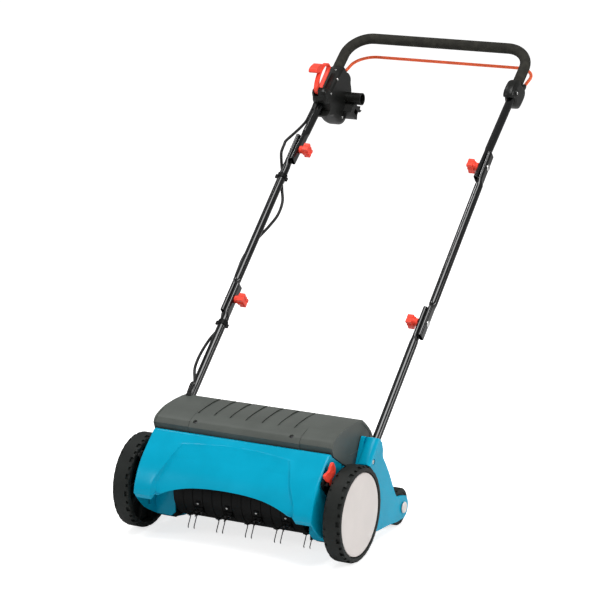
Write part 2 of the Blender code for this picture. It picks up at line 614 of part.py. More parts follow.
# Handle tubes: round, with flattened ends that lie side by side at the folds
def leg_stations(x, start, end, flat_start, flat_end):
    """A straight leg along Z with flattened ends where asked."""
    round_out, round_in = (TUBE_R, TUBE_R), (TUBE_R - TUBE_WALL,) * 2
    flat_out, flat_in = (FLAT_X, FLAT_Y), (FLAT_X - TUBE_WALL, FLAT_Y - TUBE_WALL)
    ease = 0.016
    marks = []
    if flat_start:
        marks += [(start, True), (start + 2 * FLAT_LENGTH, True), (start + 2 * FLAT_LENGTH + ease, False)]
    else:
        marks += [(start, False)]
    if flat_end:
        marks += [(end - 2 * FLAT_LENGTH - ease, False), (end - 2 * FLAT_LENGTH, True), (end, True)]
    else:
        marks += [(end, False)]
    return [(Vector((x, 0, z)), Vector((0, 0, 1)), flat_out if flat else round_out,
             flat_in if flat else round_in) for z, flat in marks]


def bolt_hole(x, z):
    return rod(BOLT_R + GAP, x - 0.02, x + 0.02, 0.0, z, 12)


for side, s in SIDES:
    low = piece(f"lower_tube_{side}",
                pipe(leg_stations(s * LOWER_TUBE_X, -LOWER_TUBE_LENGTH + 0.0045, FLAT_LENGTH, False,
                                  True)), lower, COATED)
    cut(low, bolt_hole(s * LOWER_TUBE_X, 0.0))
    middle = piece(f"middle_tube_{side}",
                   pipe(leg_stations(s * MIDDLE_TUBE_X, -FLAT_LENGTH, FOLD_SPAN + FLAT_LENGTH, True,
                                     True)), lower, COATED)
    cut(middle, bolt_hole(s * MIDDLE_TUBE_X, 0.0), bolt_hole(s * MIDDLE_TUBE_X, FOLD_SPAN))


def bow_path(half_x, start_z, top_z, corner_r, steps=6):
    """Centre and heading along a U that rises on the left, crosses and comes down."""
    path = [(Vector((-half_x, 0, start_z)), Vector((0, 0, 1)))]
    for centre_x, first in ((-half_x + corner_r, 180.0), (half_x - corner_r, 90.0)):
        for i in range(steps + 1):
            angle = math.radians(first - 90.0 * i / steps)
            out = Vector((math.cos(angle), 0, math.sin(angle)))
            path.append((Vector((centre_x, 0, top_z - corner_r)) + out * corner_r,
                         Vector((out.z, 0, -out.x))))
    path.append((Vector((half_x, 0, start_z)), Vector((0, 0, -1))))
    return path


def bow_tube(half_x, start_z, top_z, corner_r, outer_r, inner_r):
    return [(centre, heading, (outer_r, outer_r), (inner_r, inner_r))
            for centre, heading in bow_path(half_x, start_z, top_z, corner_r)]


legs = [leg_stations(s * LOWER_TUBE_X, -FLAT_LENGTH, 0.250, True, False)[:-1] for s in (-1, 1)]
rising = legs[0]
falling = [(centre, -heading, outer, inner) for centre, heading, outer, inner in reversed(legs[1])]
bow = bow_tube(LOWER_TUBE_X, 0.250, GRIP_REACH, GRIP_CORNER_R, TUBE_R, TUBE_R - TUBE_WALL)
handle = piece("upper_handle_tube", pipe(rising + bow[1:-1] + falling), upper, COATED)
cut(handle, bolt_hole(-LOWER_TUBE_X, 0.0), bolt_hole(LOWER_TUBE_X, 0.0))
piece("foam_grip", pipe(bow_tube(LOWER_TUBE_X, FOAM_START, GRIP_REACH, GRIP_CORNER_R, FOAM_R,
                                 TUBE_R + 0.0004)), upper, FOAM)

# Fold bolts and their red knobs, on the inner side
KNOB_X = (0.1960, LOWER_TUBE_X - FLAT_X - 0.0008)
BOLT_HEAD_X = MIDDLE_TUBE_X + FLAT_X + 0.0006
for name, holder in (("lower", lower), ("upper", upper)):
    for side, s in SIDES:
        piece(f"{name}_bolt_{side}",
              capped([(s * 0.2040, BOLT_R), (s * BOLT_HEAD_X, BOLT_R), (s * BOLT_HEAD_X, 0.0075),
                      (s * (BOLT_HEAD_X + 0.0028), 0.0055)], 12), holder, STEEL)
        knob = piece(f"{name}_knob_{side}",
                     capped([(s * KNOB_X[0], 0.0100), (s * (KNOB_X[0] + 0.002), 0.0120),
                             (s * (KNOB_X[1] - 0.010), 0.0125), (s * (KNOB_X[1] - 0.008), 0.0090),
                             (s * KNOB_X[1], 0.0090)], 12), holder, RED)
        melt(knob, block(s * KNOB_X[0], s * (KNOB_X[0] + 0.008), -0.0190, 0.0190, -0.0050, 0.0050))
        cut(knob, rod(BOLT_R + GAP, s * (KNOB_X[0] + 0.004), s * 0.23, steps=12))


# Switch housing on the left leg: two shells, mains inlet, switch and safety lock
HOUSING = [(-0.0120, 0.2740), (0.0120, 0.2755), (0.0300, 0.2640), (0.0400, 0.2530),
           (0.0620, 0.2440), (0.0800, 0.2250), (0.0930, 0.1950), (0.0950, 0.1760),
           (0.0860, 0.1580), (0.0700, 0.1460), (0.0480, 0.1330), (0.0320, 0.1220),
           (0.0130, 0.1120), (-0.0130, 0.1120), (-0.0150, 0.1300), (-0.0310, 0.1370),
           (-0.0440, 0.1430), (-0.0440, 0.1570), (-0.0310, 0.1650), (-0.0310, 0.2250),
           (-0.0240, 0.2520)]
HOUSING_OUTER_X, HOUSING_INNER_X = -0.2460, -0.2000
SPLIT_X = -LOWER_TUBE_X
CAVITY = [(0.0160, 0.1240), (0.0330, 0.1265), (0.0480, 0.1370), (0.0690, 0.1500), (0.0825, 0.1605),
          (0.0910, 0.1765), (0.0893, 0.1940), (0.0770, 0.2225), (0.0700, 0.2310), (0.0160, 0.2310)]
CAVITY_X = (-0.2430, -0.2030)


def tube_bore(x):
    return wire([Vector((x, 0, 0.05)), Vector((x, 0, 0.32))], TUBE_R + GAP, 12)


def foam_bore(x):
    return wire([Vector((x, 0, FOAM_START - 0.0020)), Vector((x, 0, 0.32))], FOAM_R + 0.0005, 12)


def bail_slot(x):
    return block(x - 0.0058, x + 0.0058, 0.0135, 0.10, 0.2340, 0.32)


outer_shell = piece("switch_housing_outer", prism(HOUSING, HOUSING_OUTER_X, SPLIT_X - GAP / 2),
                    upper, BLACK)
inner_shell = piece("switch_housing_inner", prism(HOUSING, SPLIT_X + GAP / 2, HOUSING_INNER_X),
                    upper, BLACK)
melt(inner_shell,
     rod(INLET_R, HOUSING_INNER_X - 0.002, INLET_X, *INLET_AT, steps=20),
     prism([(0.0640, 0.2040), (0.0800, 0.2080), (0.0960, 0.2240), (0.1000, 0.2100),
            (0.0960, 0.1960), (0.0900, 0.1830), (0.0700, 0.1830)], HOUSING_INNER_X - 0.002, -0.1780))
cut(inner_shell, rod(INLET_BORE_R, -0.1960, INLET_X + 0.01, *INLET_AT, steps=20))
for shell in (outer_shell, inner_shell):
    cut(shell,
        tube_bore(SPLIT_X),
        foam_bore(SPLIT_X),
        bail_slot(SPLIT_X),
        prism(CAVITY, *CAVITY_X),
        block(SPLIT_X - 0.0056, SPLIT_X + 0.0056, -0.06, -0.0205, 0.1400, 0.2420))
for pivot in (BAIL_PIVOT, LOCK_PIVOT):
    cut(inner_shell, rod(PIVOT_R + GAP, -0.2300, -0.2100, *pivot, steps=8))
    melt(outer_shell, rod(PIVOT_R, -0.2400, -0.2120, *pivot, steps=8))
cut(outer_shell, block(-0.2440, -0.2200, -0.0042, 0.0042, 0.105, 0.135))
contacts = piece("inlet_contacts", rod(INLET_BORE_R - GAP, -0.1957, -0.1927, *INLET_AT, 20), upper,
                 STEEL)
melt(contacts, both(*(rod(0.0020, -0.1940, -0.1740, INLET_AT[0] + y, INLET_AT[1] + z, 8)
                      for y, z in ((0.0, 0.0045), (0.0045, -0.0035), (-0.0045, -0.0035)))))
piece("microswitch", block(CAVITY_X[0] + GAP, -0.2300, 0.0350, 0.0650, 0.2000, 0.2200), upper, BLACK)

lock = piece("safety_lock",
             prism([(-0.0335, 0.1465), (-0.0430, 0.1455), (-0.0560, 0.1560), (-0.0625, 0.1740),
                    (-0.0630, 0.1960), (-0.0590, 0.2150), (-0.0500, 0.2260), (-0.0345, 0.2290),
                    (-0.0325, 0.2140)],
                   SPLIT_X - 0.0048, SPLIT_X + 0.0048), upper, RED)
melt(lock, prism([(-0.0600, 0.2080), (-0.0630, 0.1900), (-0.0780, 0.1760), (-0.0810, 0.1820),
                  (-0.0720, 0.1980)], SPLIT_X - 0.0170, SPLIT_X + 0.0030))
cut(lock,
    prism([(-0.0365, 0.1600), (-0.0440, 0.1600), (-0.0540, 0.1640), (-0.0592, 0.1760),
           (-0.0595, 0.1950), (-0.0560, 0.2120), (-0.0485, 0.2215), (-0.0375, 0.2240),
           (-0.0360, 0.2140)], SPLIT_X - 0.01, SPLIT_X + 0.01),
    rod(PIVOT_R + GAP, -0.25, -0.20, *LOCK_PIVOT, steps=8))

# Clamp on the right leg: two shells that hold the bail's other end
CLAMP = [(-0.0140, 0.2740), (0.0120, 0.2755), (0.0330, 0.2630), (0.0400, 0.2480),
         (0.0400, 0.2280), (0.0370, 0.2100), (0.0200, 0.2030), (-0.0120, 0.2030),
         (-0.0240, 0.2150), (-0.0280, 0.2380), (-0.0240, 0.2600)]
CLAMP_HALF = 0.0165
for name, way in (("inner", -1), ("outer", 1)):
    clamp = piece(f"clamp_{name}", prism(CLAMP, LOWER_TUBE_X + way * GAP / 2,
                                         LOWER_TUBE_X + way * CLAMP_HALF), upper, BLACK)
    cut(clamp, tube_bore(LOWER_TUBE_X), foam_bore(LOWER_TUBE_X), bail_slot(LOWER_TUBE_X))
    if way < 0:
        cut(clamp, rod(PIVOT_R + GAP, 0.215, 0.230, *BAIL_PIVOT, steps=8))
    else:
        melt(clamp, rod(PIVOT_R, 0.2170, 0.2360, *BAIL_PIVOT, steps=8))


# Bail: an orange-red rod bow with a black arm at each end, pivoted in the housings
bail = frame("bail_frame", (0, *BAIL_PIVOT), upper, BAIL_REST)
BAIL_ARM = (arc(0.0065, 180.0, 360.0, 6) + [(0.0060, 0.0200), (0.0045, 0.0330), (-0.0045, 0.0330),
                                            (-0.0050, 0.0160)])
for side, s in SIDES:
    arm = piece(f"bail_arm_{side}",
                prism(BAIL_ARM, s * LOWER_TUBE_X - 0.0048, s * LOWER_TUBE_X + 0.0048), bail, BLACK)
    cut(arm, rod(PIVOT_R + GAP, s * 0.20, s * 0.25, steps=8))
piece("bail_bar",
      wire([centre for centre, heading in bow_path(LOWER_TUBE_X, 0.0330 + GAP, BAIL_REACH, 0.050)],
           BAIL_WIRE_R, 8), bail, ORANGE)


# Mains lead from the switch to the motor, clipped to the left tubes and slack at both folds
UPPER_IN_LOWER = math.radians(UPPER_LEAN - LOWER_LEAN)


def from_upper(x, behind, along):
    """A point of the upper handle's frame, in the frame of the tubes below it."""
    return (x, behind * math.cos(UPPER_IN_LOWER) + along * math.sin(UPPER_IN_LOWER),
            FOLD_SPAN + along * math.cos(UPPER_IN_LOWER) - behind * math.sin(UPPER_IN_LOWER))


def in_lower(x, y, z):
    """A point of the deck's frame, in the frame of the lower tubes."""
    lean = math.radians(LOWER_LEAN)
    dy, dz = y - LOWER_FOLD[0], z - LOWER_FOLD[1]
    return (x, dy * math.cos(lean) - dz * math.sin(lean), dy * math.sin(lean) + dz * math.cos(lean))


AT_UPPER_FOLD = (-0.2540, -0.0190, 0.4190)
AT_LOWER_FOLD = (-0.2500, 0.0170, 0.0)
lead("upper_cable",
     [from_upper(-0.2400, 0.0, 0.1345), from_upper(-0.2400, 0.0, 0.1100),
      from_upper(-0.2402, -0.0010, 0.0850), from_upper(-0.2430, -0.0080, 0.0560),
      from_upper(-0.2490, -0.0150, 0.0270), (-0.2540, -0.0190, AT_UPPER_FOLD[2] + 0.0100),
      (-0.2540, -0.0190, AT_UPPER_FOLD[2] + CABLE_GAP)], lower)
lead("middle_cable",
     [AT_UPPER_FOLD, (-0.2540, -0.0190, 0.4090), (-0.2545, -0.0140, 0.3950),
      (-0.2490, 0.0060, 0.3680), (-0.2400, 0.0142, 0.3490), (-0.2400, 0.0142, 0.3360),
      (-0.2330, 0.0180, 0.3160), (-0.2250, 0.0260, 0.2900),
      (-0.2240, 0.0280, 0.2550), (-0.2290, 0.0200, 0.2150), (-0.2400, 0.0142, 0.1750),
      (-0.2510, 0.0100, 0.1250), (-0.2520, 0.0110, 0.0850), (-0.2510, 0.0150, 0.0400),
      (-0.2500, 0.0170, 0.0100), (-0.2500, 0.0170, AT_LOWER_FOLD[2] + CABLE_GAP)], lower)
lead("lower_cable",
     [AT_LOWER_FOLD, (-0.2500, 0.0170, -0.0100), (-0.2455, 0.0160, -0.0350),
      (-0.2375, 0.0125, -0.0600), (-0.2375, 0.0125, -0.0720),
      (-0.2405, -0.0020, -0.1150), (-0.2370, -0.0175, -0.1650), (-0.2290, -0.0275, -0.2050),
      (-0.2160, -0.0275, -0.2380), in_lower(-0.2020, 0.1380, 0.2800),
      in_lower(-0.1960, 0.1180, 0.2760), in_lower(-0.1950, 0.1100, 0.2628)], lower)


def clip(tube_x, tube_half, cable_x, cable_y, z):
    """A clip that hugs a tube and the lead beside it."""
    body = wire([Vector((tube_x, 0, z - 0.005)), Vector((tube_x, 0, z + 0.005))],
                tube_half + 0.0022, 12)
    return body, wire([Vector((cable_x, cable_y, z - 0.005)), Vector((cable_x, cable_y, z + 0.005))],
                      CABLE_R + 0.0022, 10)


for name, tube_x, cable, z in (("lower_cable_clip", LOWER_TUBE_X, (-0.2375, 0.0125), -0.0660),
                               ("middle_cable_clip", MIDDLE_TUBE_X, (-0.2400, 0.0142), 0.3420)):
    hug, loop = clip(-tube_x, TUBE_R, *cable, z)
    holder = piece(name, hug, lower, BLACK)
    melt(holder, loop)
    cut(holder,
        wire([Vector((-tube_x, 0, z - 0.02)), Vector((-tube_x, 0, z + 0.02))], TUBE_R + 0.0004, 12),
        wire([Vector((*cable, z - 0.02)), Vector((*cable, z + 0.02))], CABLE_R + 0.0018, 10))
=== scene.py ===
# Electric lawn scarifier: its looks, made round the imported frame.
# Metres, +Z up, +Y towards the user. The deck is drawn with y counted from the front axle,
# and a side view is written as (y, z) points. Left is -X.

import math

import bpy
from mathutils import Matrix, Vector


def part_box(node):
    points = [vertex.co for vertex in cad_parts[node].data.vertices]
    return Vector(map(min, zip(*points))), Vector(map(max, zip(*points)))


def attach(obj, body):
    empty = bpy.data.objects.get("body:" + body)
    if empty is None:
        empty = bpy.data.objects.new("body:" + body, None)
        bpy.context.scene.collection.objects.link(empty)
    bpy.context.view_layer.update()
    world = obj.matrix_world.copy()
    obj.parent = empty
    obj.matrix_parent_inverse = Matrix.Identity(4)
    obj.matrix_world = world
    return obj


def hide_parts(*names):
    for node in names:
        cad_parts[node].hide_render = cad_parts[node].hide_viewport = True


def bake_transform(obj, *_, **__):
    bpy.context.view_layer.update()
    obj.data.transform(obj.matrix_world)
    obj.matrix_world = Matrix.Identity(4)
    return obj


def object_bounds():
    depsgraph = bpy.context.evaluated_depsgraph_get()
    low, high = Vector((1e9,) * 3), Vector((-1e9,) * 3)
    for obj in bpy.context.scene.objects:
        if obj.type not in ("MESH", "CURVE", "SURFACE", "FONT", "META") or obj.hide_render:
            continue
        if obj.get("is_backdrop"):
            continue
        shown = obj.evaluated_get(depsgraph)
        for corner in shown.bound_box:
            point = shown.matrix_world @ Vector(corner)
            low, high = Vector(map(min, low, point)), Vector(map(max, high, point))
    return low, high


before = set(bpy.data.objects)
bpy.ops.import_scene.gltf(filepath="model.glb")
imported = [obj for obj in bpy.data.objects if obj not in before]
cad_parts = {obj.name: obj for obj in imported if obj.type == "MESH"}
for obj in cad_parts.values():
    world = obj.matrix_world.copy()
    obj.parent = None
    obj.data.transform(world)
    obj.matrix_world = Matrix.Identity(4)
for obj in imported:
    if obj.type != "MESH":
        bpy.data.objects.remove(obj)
cad_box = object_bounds()


# Studio
# A white floor and backdrop under one large soft lamp, with weaker ones round it.
# The camera stands where the photograph's did: a long lens, a little above the handle.
FLOOR_Z = -0.0012
bpy.ops.object.select_all(action="DESELECT")
bpy.ops.mesh.primitive_plane_add(size=60.0, location=(0, 0, FLOOR_Z))
floor = bpy.context.object
floor.name = "studio_floor"
floor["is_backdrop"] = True


class Socket:
    """A socket in a finish's node tree. Arithmetic on it adds Math nodes."""

    def __init__(self, finish, socket):
        self.finish, self.socket = finish, socket

    def math(self, operation, *values):
        return self.finish.node("ShaderNodeMath", {"operation": operation}, dict(enumerate(values)))

    def __add__(self, other):
        return self.math("ADD", self, other)

    def __radd__(self, other):
        return self.math("ADD", other, self)

    def __mul__(self, other):
        return self.math("MULTIPLY", self, other)

    def __rmul__(self, other):
        return self.math("MULTIPLY", other, self)


class Finish:
    """A surface finish: its slot's name, a Principled shader, and nodes that vary it."""

    def __init__(self, name, slot, colour, roughness, fixed=()):
        self.slot = slot
        self.material = bpy.data.materials.new(name)
        self.material.use_nodes = True
        self.tree = self.material.node_tree
        self.shader = self.tree.nodes["Principled BSDF"]
        self.shader.inputs["Base Color"].default_value = colour
        self.shader.inputs["Roughness"].default_value = roughness
        for title, value in fixed:
            self.shader.inputs[title].default_value = value

    def node(self, kind, settings, values, output=0):
        """Any node: its settings first, then the values or links of its sockets."""
        made = self.tree.nodes.new(kind)
        for title, value in settings.items():
            setattr(made, title, value)
        for key, value in values.items():
            if isinstance(value, Socket):
                self.tree.links.new(value.socket, made.inputs[key])
            else:
                made.inputs[key].default_value = value
        return Socket(self, made.outputs[output])

    def place(self, stretch=(1.0, 1.0, 1.0)):
        """Object coordinates, stretched through a Mapping node."""
        here = self.node("ShaderNodeTexCoord", {}, {}, "Object")
        return self.node("ShaderNodeMapping", {}, {"Vector": here, "Scale": stretch})

    def noise(self, per_metre, detail=3.0, where=None):
        return self.node("ShaderNodeTexNoise", {},
            {"Vector": where or self.place(), "Scale": per_metre, "Detail": detail})

    def band(self, value, low, high):
        """0 where the value is low, 1 where it is high, and smooth between."""
        return self.node("ShaderNodeMapRange", {"interpolation_type": "SMOOTHSTEP"},
            {"Value": value, "From Min": low, "From Max": high})

    def mix(self, share, first, second):
        return self.node("ShaderNodeMix", {"data_type": "RGBA"}, {0: share, 6: first, 7: second}, 2)

    def raised(self, height, depth, under=None):
        """A bump of a real depth in metres, over another one if that is given."""
        values = {"Height": height, "Distance": depth}
        if under:
            values["Normal"] = under
        return self.node("ShaderNodeBump", {}, values)

    def feed(self, sockets):
        """Links values to the shader's sockets by their names."""
        for title, value in sockets.items():
            self.tree.links.new(value.socket, self.shader.inputs[title])
        return self


def paint(red, green, blue):
    """A display colour, 0 to 255, as the linear one that a shader takes."""
    def linear(level):
        share = level / 255
        return share / 12.92 if share <= 0.04045 else ((share + 0.055) / 1.055) ** 2.4
    return (linear(red), linear(green), linear(blue), 1.0)


world = bpy.data.worlds.new("studio_light")
bpy.context.scene.world = world
world.use_nodes = True
sky = world.node_tree.nodes["Background"]
sky.inputs["Color"].default_value = (1.0, 1.0, 1.0, 1.0)
rays = world.node_tree.nodes.new("ShaderNodeLightPath")
level = world.node_tree.nodes.new("ShaderNodeMix")
level.inputs["A"].default_value = 0.36
level.inputs["B"].default_value = 1.0
world.node_tree.links.new(rays.outputs["Is Camera Ray"], level.inputs["Factor"])
world.node_tree.links.new(level.outputs["Result"], sky.inputs["Strength"])

# The floor glows a little for the camera only, which leaves plain white and a soft shadow
WHITE, BLACK = (1.0, 1.0, 1.0, 1.0), (0.0, 0.0, 0.0, 1.0)
paper = Finish("studio_paper", None, (0.84, 0.84, 0.84, 1.0), 0.9, [("Emission Strength", 0.74)])
grain = paper.noise(40.0)
seen = paper.node("ShaderNodeLightPath", {}, {}, "Is Camera Ray")
paper.feed({"Roughness": paper.band(grain, -2.0, 1.5),
    "Emission Color": paper.mix(seen, BLACK, WHITE)})
floor.data.materials.append(paper.material)

for name, place, size, power in (
        ("overhead_lamp", (0.6, -1.0, 3.3), 1.7, 84.0),
        ("high_left_lamp", (-1.9, 0.3, 3.3), 0.45, 16.0),
        ("front_left_lamp", (-2.6, -2.8, 1.8), 0.7, 24.0),
        ("side_lamp", (3.2, 0.3, 1.5), 1.2, 34.0)):
    bpy.ops.object.light_add(type="AREA", location=place)
    lamp = bpy.context.object
    lamp.name = name
    lamp.data.size, lamp.data.energy = size, power
    lamp.rotation_euler = (Vector((0, 0, 0.3)) - Vector(place)).to_track_quat("-Z", "Y").to_euler()

low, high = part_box("front_wheel_left")
AXLE_Y = (low[1] + high[1]) / 2
CAMERA_AZIMUTH, CAMERA_ELEVATION = math.radians(26.83), math.radians(14.35)
bpy.ops.object.camera_add(location=(2.3114, -4.3221 + AXLE_Y, 1.771),
    rotation=(math.pi / 2 - CAMERA_ELEVATION, 0, CAMERA_AZIMUTH))
camera = bpy.context.object
camera.data.lens, camera.data.sensor_width = 150.03, 36.0
bpy.context.scene.camera = camera
bpy.context.scene.view_settings.view_transform = "Standard"


# Front hood
# One glossy blue moulding, about 3 mm thick. It curves down from the motor cover to a lip over
# the drum, with a shallow recess in the middle, and is open below between its end walls.
def mm(*points):
    """Points that are written in millimetres, in metres."""
    return [tuple(round(value / 1000, 7) for value in point) for point in points]


def at(x=0.0, y=0.0, z=0.0, turn=0.0):
    """A place, turned about the X axis."""
    return Matrix.Translation((x, y, z)) @ Matrix.Rotation(turn, 4, "X")


HOOD_HALF, HOOD_WALL, HOOD_THIN = 0.205, 0.0032, 0.0016
BAY_HALF = 0.1565               # inside of the drum's bay
BULKHEAD_Y = (-0.02, -0.017)    # closes each end beside the bay
END_ROUND = 0.005               # how far the front rounds off at each end
RECESS_DEPTH = mm((110, 8.6), (150, 7), (175, 6), (190, 4.6))
RECESS_SIDE = mm((112, 166.5), (140, 162.5), (160, 153), (175, 145), (190, 138), (204, 131),
    (212, 125))
RECESS_RAMP = ((0.114, 0.0095), (0.16, 0.0085), (0.204, 0.007))
CREASE = 0.0007                 # half width of a crease
BEAD = 0.0013                   # how far the recess's edge stands proud
DECK = at(0, AXLE_Y, 0)


def flowing(points, steps=4):
    """A smooth curve through all the points."""
    line = []
    padded = [points[0], *points, points[-1]]
    for corners in zip(padded, padded[1:], padded[2:], padded[3:]):
        for t in (step / steps for step in range(steps)):
            line.append(tuple(
                b + 0.5 * ((c - a) * t + (2 * a - 5 * b + 4 * c - d) * t**2
                           + (3 * b - a - 3 * c + d) * t**3)
                for a, b, c, d in zip(*corners)))
    return line + [tuple(points[-1])]


def between(value, table):
    """Reads a value off a table of (key, result) pairs, in straight steps."""
    if value <= table[0][0]:
        return table[0][1]
    for (low_key, low_result), (high_key, high_result) in zip(table, table[1:]):
        if value <= high_key:
            share = (value - low_key) / (high_key - low_key)
            return low_result + share * (high_result - low_result)
    return table[-1][1]


def eased(value, low, high):
    """0 up to low, 1 from high on, and smooth between."""
    share = min(max((value - low) / (high - low), 0.0), 1.0)
    return share * share * (3 - 2 * share)


def picked(target):
    """Makes an object the only selected and active one."""
    bpy.ops.object.select_all(action="DESELECT")
    bpy.context.view_layer.objects.active = target
    target.select_set(True)
    return target


def edit():
    """Opens the active object in edit mode with everything selected."""
    bpy.ops.object.mode_set(mode="EDIT")
    bpy.ops.mesh.select_all(action="SELECT")


def done():
    bpy.ops.object.mode_set(mode="OBJECT")
    return bpy.context.object


def settled():
    """Moves the selected object's place into its vertices, and points its normals outward."""
    bpy.ops.object.transform_apply()
    edit()
    bpy.ops.mesh.normals_make_consistent(inside=False)
    return done()


def drawn(points, face=True):
    """A flat face, or an open line, drawn point by point."""
    bpy.ops.object.select_all(action="DESELECT")
    bpy.ops.mesh.primitive_plane_add(size=0.01, location=points[0])
    edit()
    bpy.ops.mesh.merge(type="CENTER")
    for start, end in zip(points, points[1:]):
        step = Vector(end) - Vector(start)
        bpy.ops.mesh.extrude_vertices_move(TRANSFORM_OT_translate={"value": step})
    bpy.ops.mesh.select_all(action="SELECT")
    if face:
        bpy.ops.mesh.edge_face_add()
    made = done()
    bpy.ops.object.transform_apply()
    return made


def extruded(points, *steps):
    """A solid: a drawn outline, extruded step by step."""
    drawn(points)
    edit()
    for step in steps:
        bpy.ops.mesh.extrude_region_move(TRANSFORM_OT_translate={"value": step})
    done()
    return settled()


def side_block(outline, *stations):
    """A solid from a side view outline, through stations across the machine."""
    return extruded([(stations[0], y, z) for y, z in outline],
        *[(after - before, 0, 0) for before, after in zip(stations, stations[1:])])


def front_block(outline, y0, y1):
    """A solid from a front view outline of (x, z) points."""
    return extruded([(x, y0, z) for x, z in outline], (0, y1 - y0, 0))


def box(x0, x1, y0, y1, z0, z1):
    return side_block([(y0, z0), (y1, z0), (y1, z1), (y0, z1)], x0, x1)


def applied(target, kind, **settings):
    """Adds a modifier to an object and applies it."""
    picked(target)
    step = target.modifiers.new("step", kind)
    for title, value in settings.items():
        setattr(step, title, value)
    bpy.ops.object.modifier_apply(modifier=step.name)
    return target


def cut(target, *tools, way="DIFFERENCE"):
    for tool in tools:
        applied(target, "BOOLEAN", operation=way, solver="MANIFOLD", object=tool)
        bpy.data.objects.remove(tool)
    return target


def joined(target, *others):
    return cut(target, *others, way="UNION")


def rounded(target, width, sharper_than=50.0, segments=2):
    """Rounds the sharp edges off, after a clean-up of what the cuts left."""
    applied(target, "WELD", merge_threshold=0.00003)
    edit()
    bpy.ops.mesh.dissolve_limited(angle_limit=math.radians(0.4))
    done()
    return applied(target, "BEVEL", width=width, segments=segments, limit_method="ANGLE",
        angle_limit=math.radians(sharper_than), use_clamp_overlap=True, miter_outer="MITER_ARC")


def fitted(piece, name, body, finish, *nodes, seat=DECK, smooth=32.0):
    """Names a finished piece, seats it, and hangs it on its body in the place of CAD nodes.
    Its curves are shaded smooth, up to an angle in degrees, and its flats stay flat."""
    piece.name = piece.data.name = name
    piece.matrix_world = seat @ piece.matrix_world
    picked(piece)
    bpy.ops.object.transform_apply()
    piece.data.materials.clear()
    piece.data.materials.append(finish.material)
    if body:
        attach(piece, body)
    if nodes:
        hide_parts(*nodes)
    picked(piece)
    bpy.ops.object.shade_smooth_by_angle(angle=math.radians(smooth))
    return applied(piece, "WEIGHTED_NORMAL", keep_sharp=True)


def moulded(name, slot, colour, roughness, grain_per_metre, grain_depth, vary=0.06, fixed=()):
    """Moulded plastic: a fine spark-eroded grain, and a faint cloudiness in colour and gloss."""
    made = Finish(name, slot, colour, roughness, fixed)
    cloud = made.noise(18.0, 4.0)
    darker = tuple(level * (1 - vary) for level in colour[:3]) + (1.0,)
    lighter = tuple(min(level * (1 + vary), 1.0) for level in colour[:3]) + (1.0,)
    grain = made.noise(grain_per_metre, 2.0)
    return made.feed({
        "Base Color": made.mix(made.band(cloud, 0.3, 0.7), darker, lighter),
        "Roughness": made.band(cloud, 0.0, 1.0) * 0.1 + (roughness - 0.05),
        "Normal": made.raised(grain, grain_depth)})


GLOSS = "Specular IOR Level"
blue_shell = moulded("blue_moulding", "blue_plastic", paint(0, 154, 187), 0.24, 900.0, 0.00002,
    0.04, [(GLOSS, 0.11)])

HOOD_FRONT = mm((-15.2, 223.2), (-24, 222.5), (-46, 204), (-75, 178), (-94, 153), (-107, 125),
    (-110, 108))
HOOD_UNDER = mm((-110, 108), (-92, 87), (-72, 68), (-40, 48.5), (-3, 29))
HOOD_BACK = [(0.03, 0.027), (0.03, 0.1895), (-0.0125, 0.2165)]
CREST, FOOT = 0.2125, 0.1895    # heights of the recess's upper and lower crease, at the middle


def on_front(z):
    """The point of the hood's front profile at a height."""
    return (between(z, [(height, y) for y, height in reversed(flowing(HOOD_FRONT[1:], 12))]), z)


def inset(line, depth):
    """A line of side view points, moved to its left. The depth may depend on the point."""
    moved = []
    for i, (y, z) in enumerate(line):
        before, after = line[max(i - 1, 0)], line[min(i + 1, len(line) - 1)]
        along = Vector((after[0] - before[0], after[1] - before[1])).normalized()
        amount = depth(y, z) if callable(depth) else depth
        moved.append((y - along.y * amount, z + along.x * amount))
    return moved


rows = [0.2195, 0.2165, 0.2145, CREST + CREASE, CREST - CREASE, 0.208, 0.2035, 0.199, 0.1945,
    FOOT + CREASE, FOOT - CREASE] + [0.185 - 0.0048 * step for step in range(16)]
front = (flowing(HOOD_FRONT[:3], 6)[:7] + [on_front(z) for z in rows] + [HOOD_FRONT[-1]])
under = flowing(HOOD_UNDER, 3)
COLUMN_IN, COLUMN_OUT = 0.66 * HOOD_HALF, 0.76 * HOOD_HALF  # columns that the creases take
columns = [0.0, 0.12, 0.24, 0.36, 0.48, 0.58, 0.66 - 0.005, 0.66 + 0.005, 0.7, 0.73, 0.76 - 0.005,
    0.76 + 0.005, 0.81, 0.86, 0.91, 0.95, 0.975, 0.983, 0.99, 0.996, 1.0]
columns = [-share for share in reversed(columns[1:])] + columns
hood = side_block(front[:-1] + under + HOOD_BACK, *[share * HOOD_HALF for share in columns])
way_in = {(round(y, 5), round(z, 5)): (y2 - y, z2 - z)
    for (y, z), (y2, z2) in zip(front + under, inset(front, 1.0) + inset(under, 1.0))}
step = 0.005 * HOOD_HALF
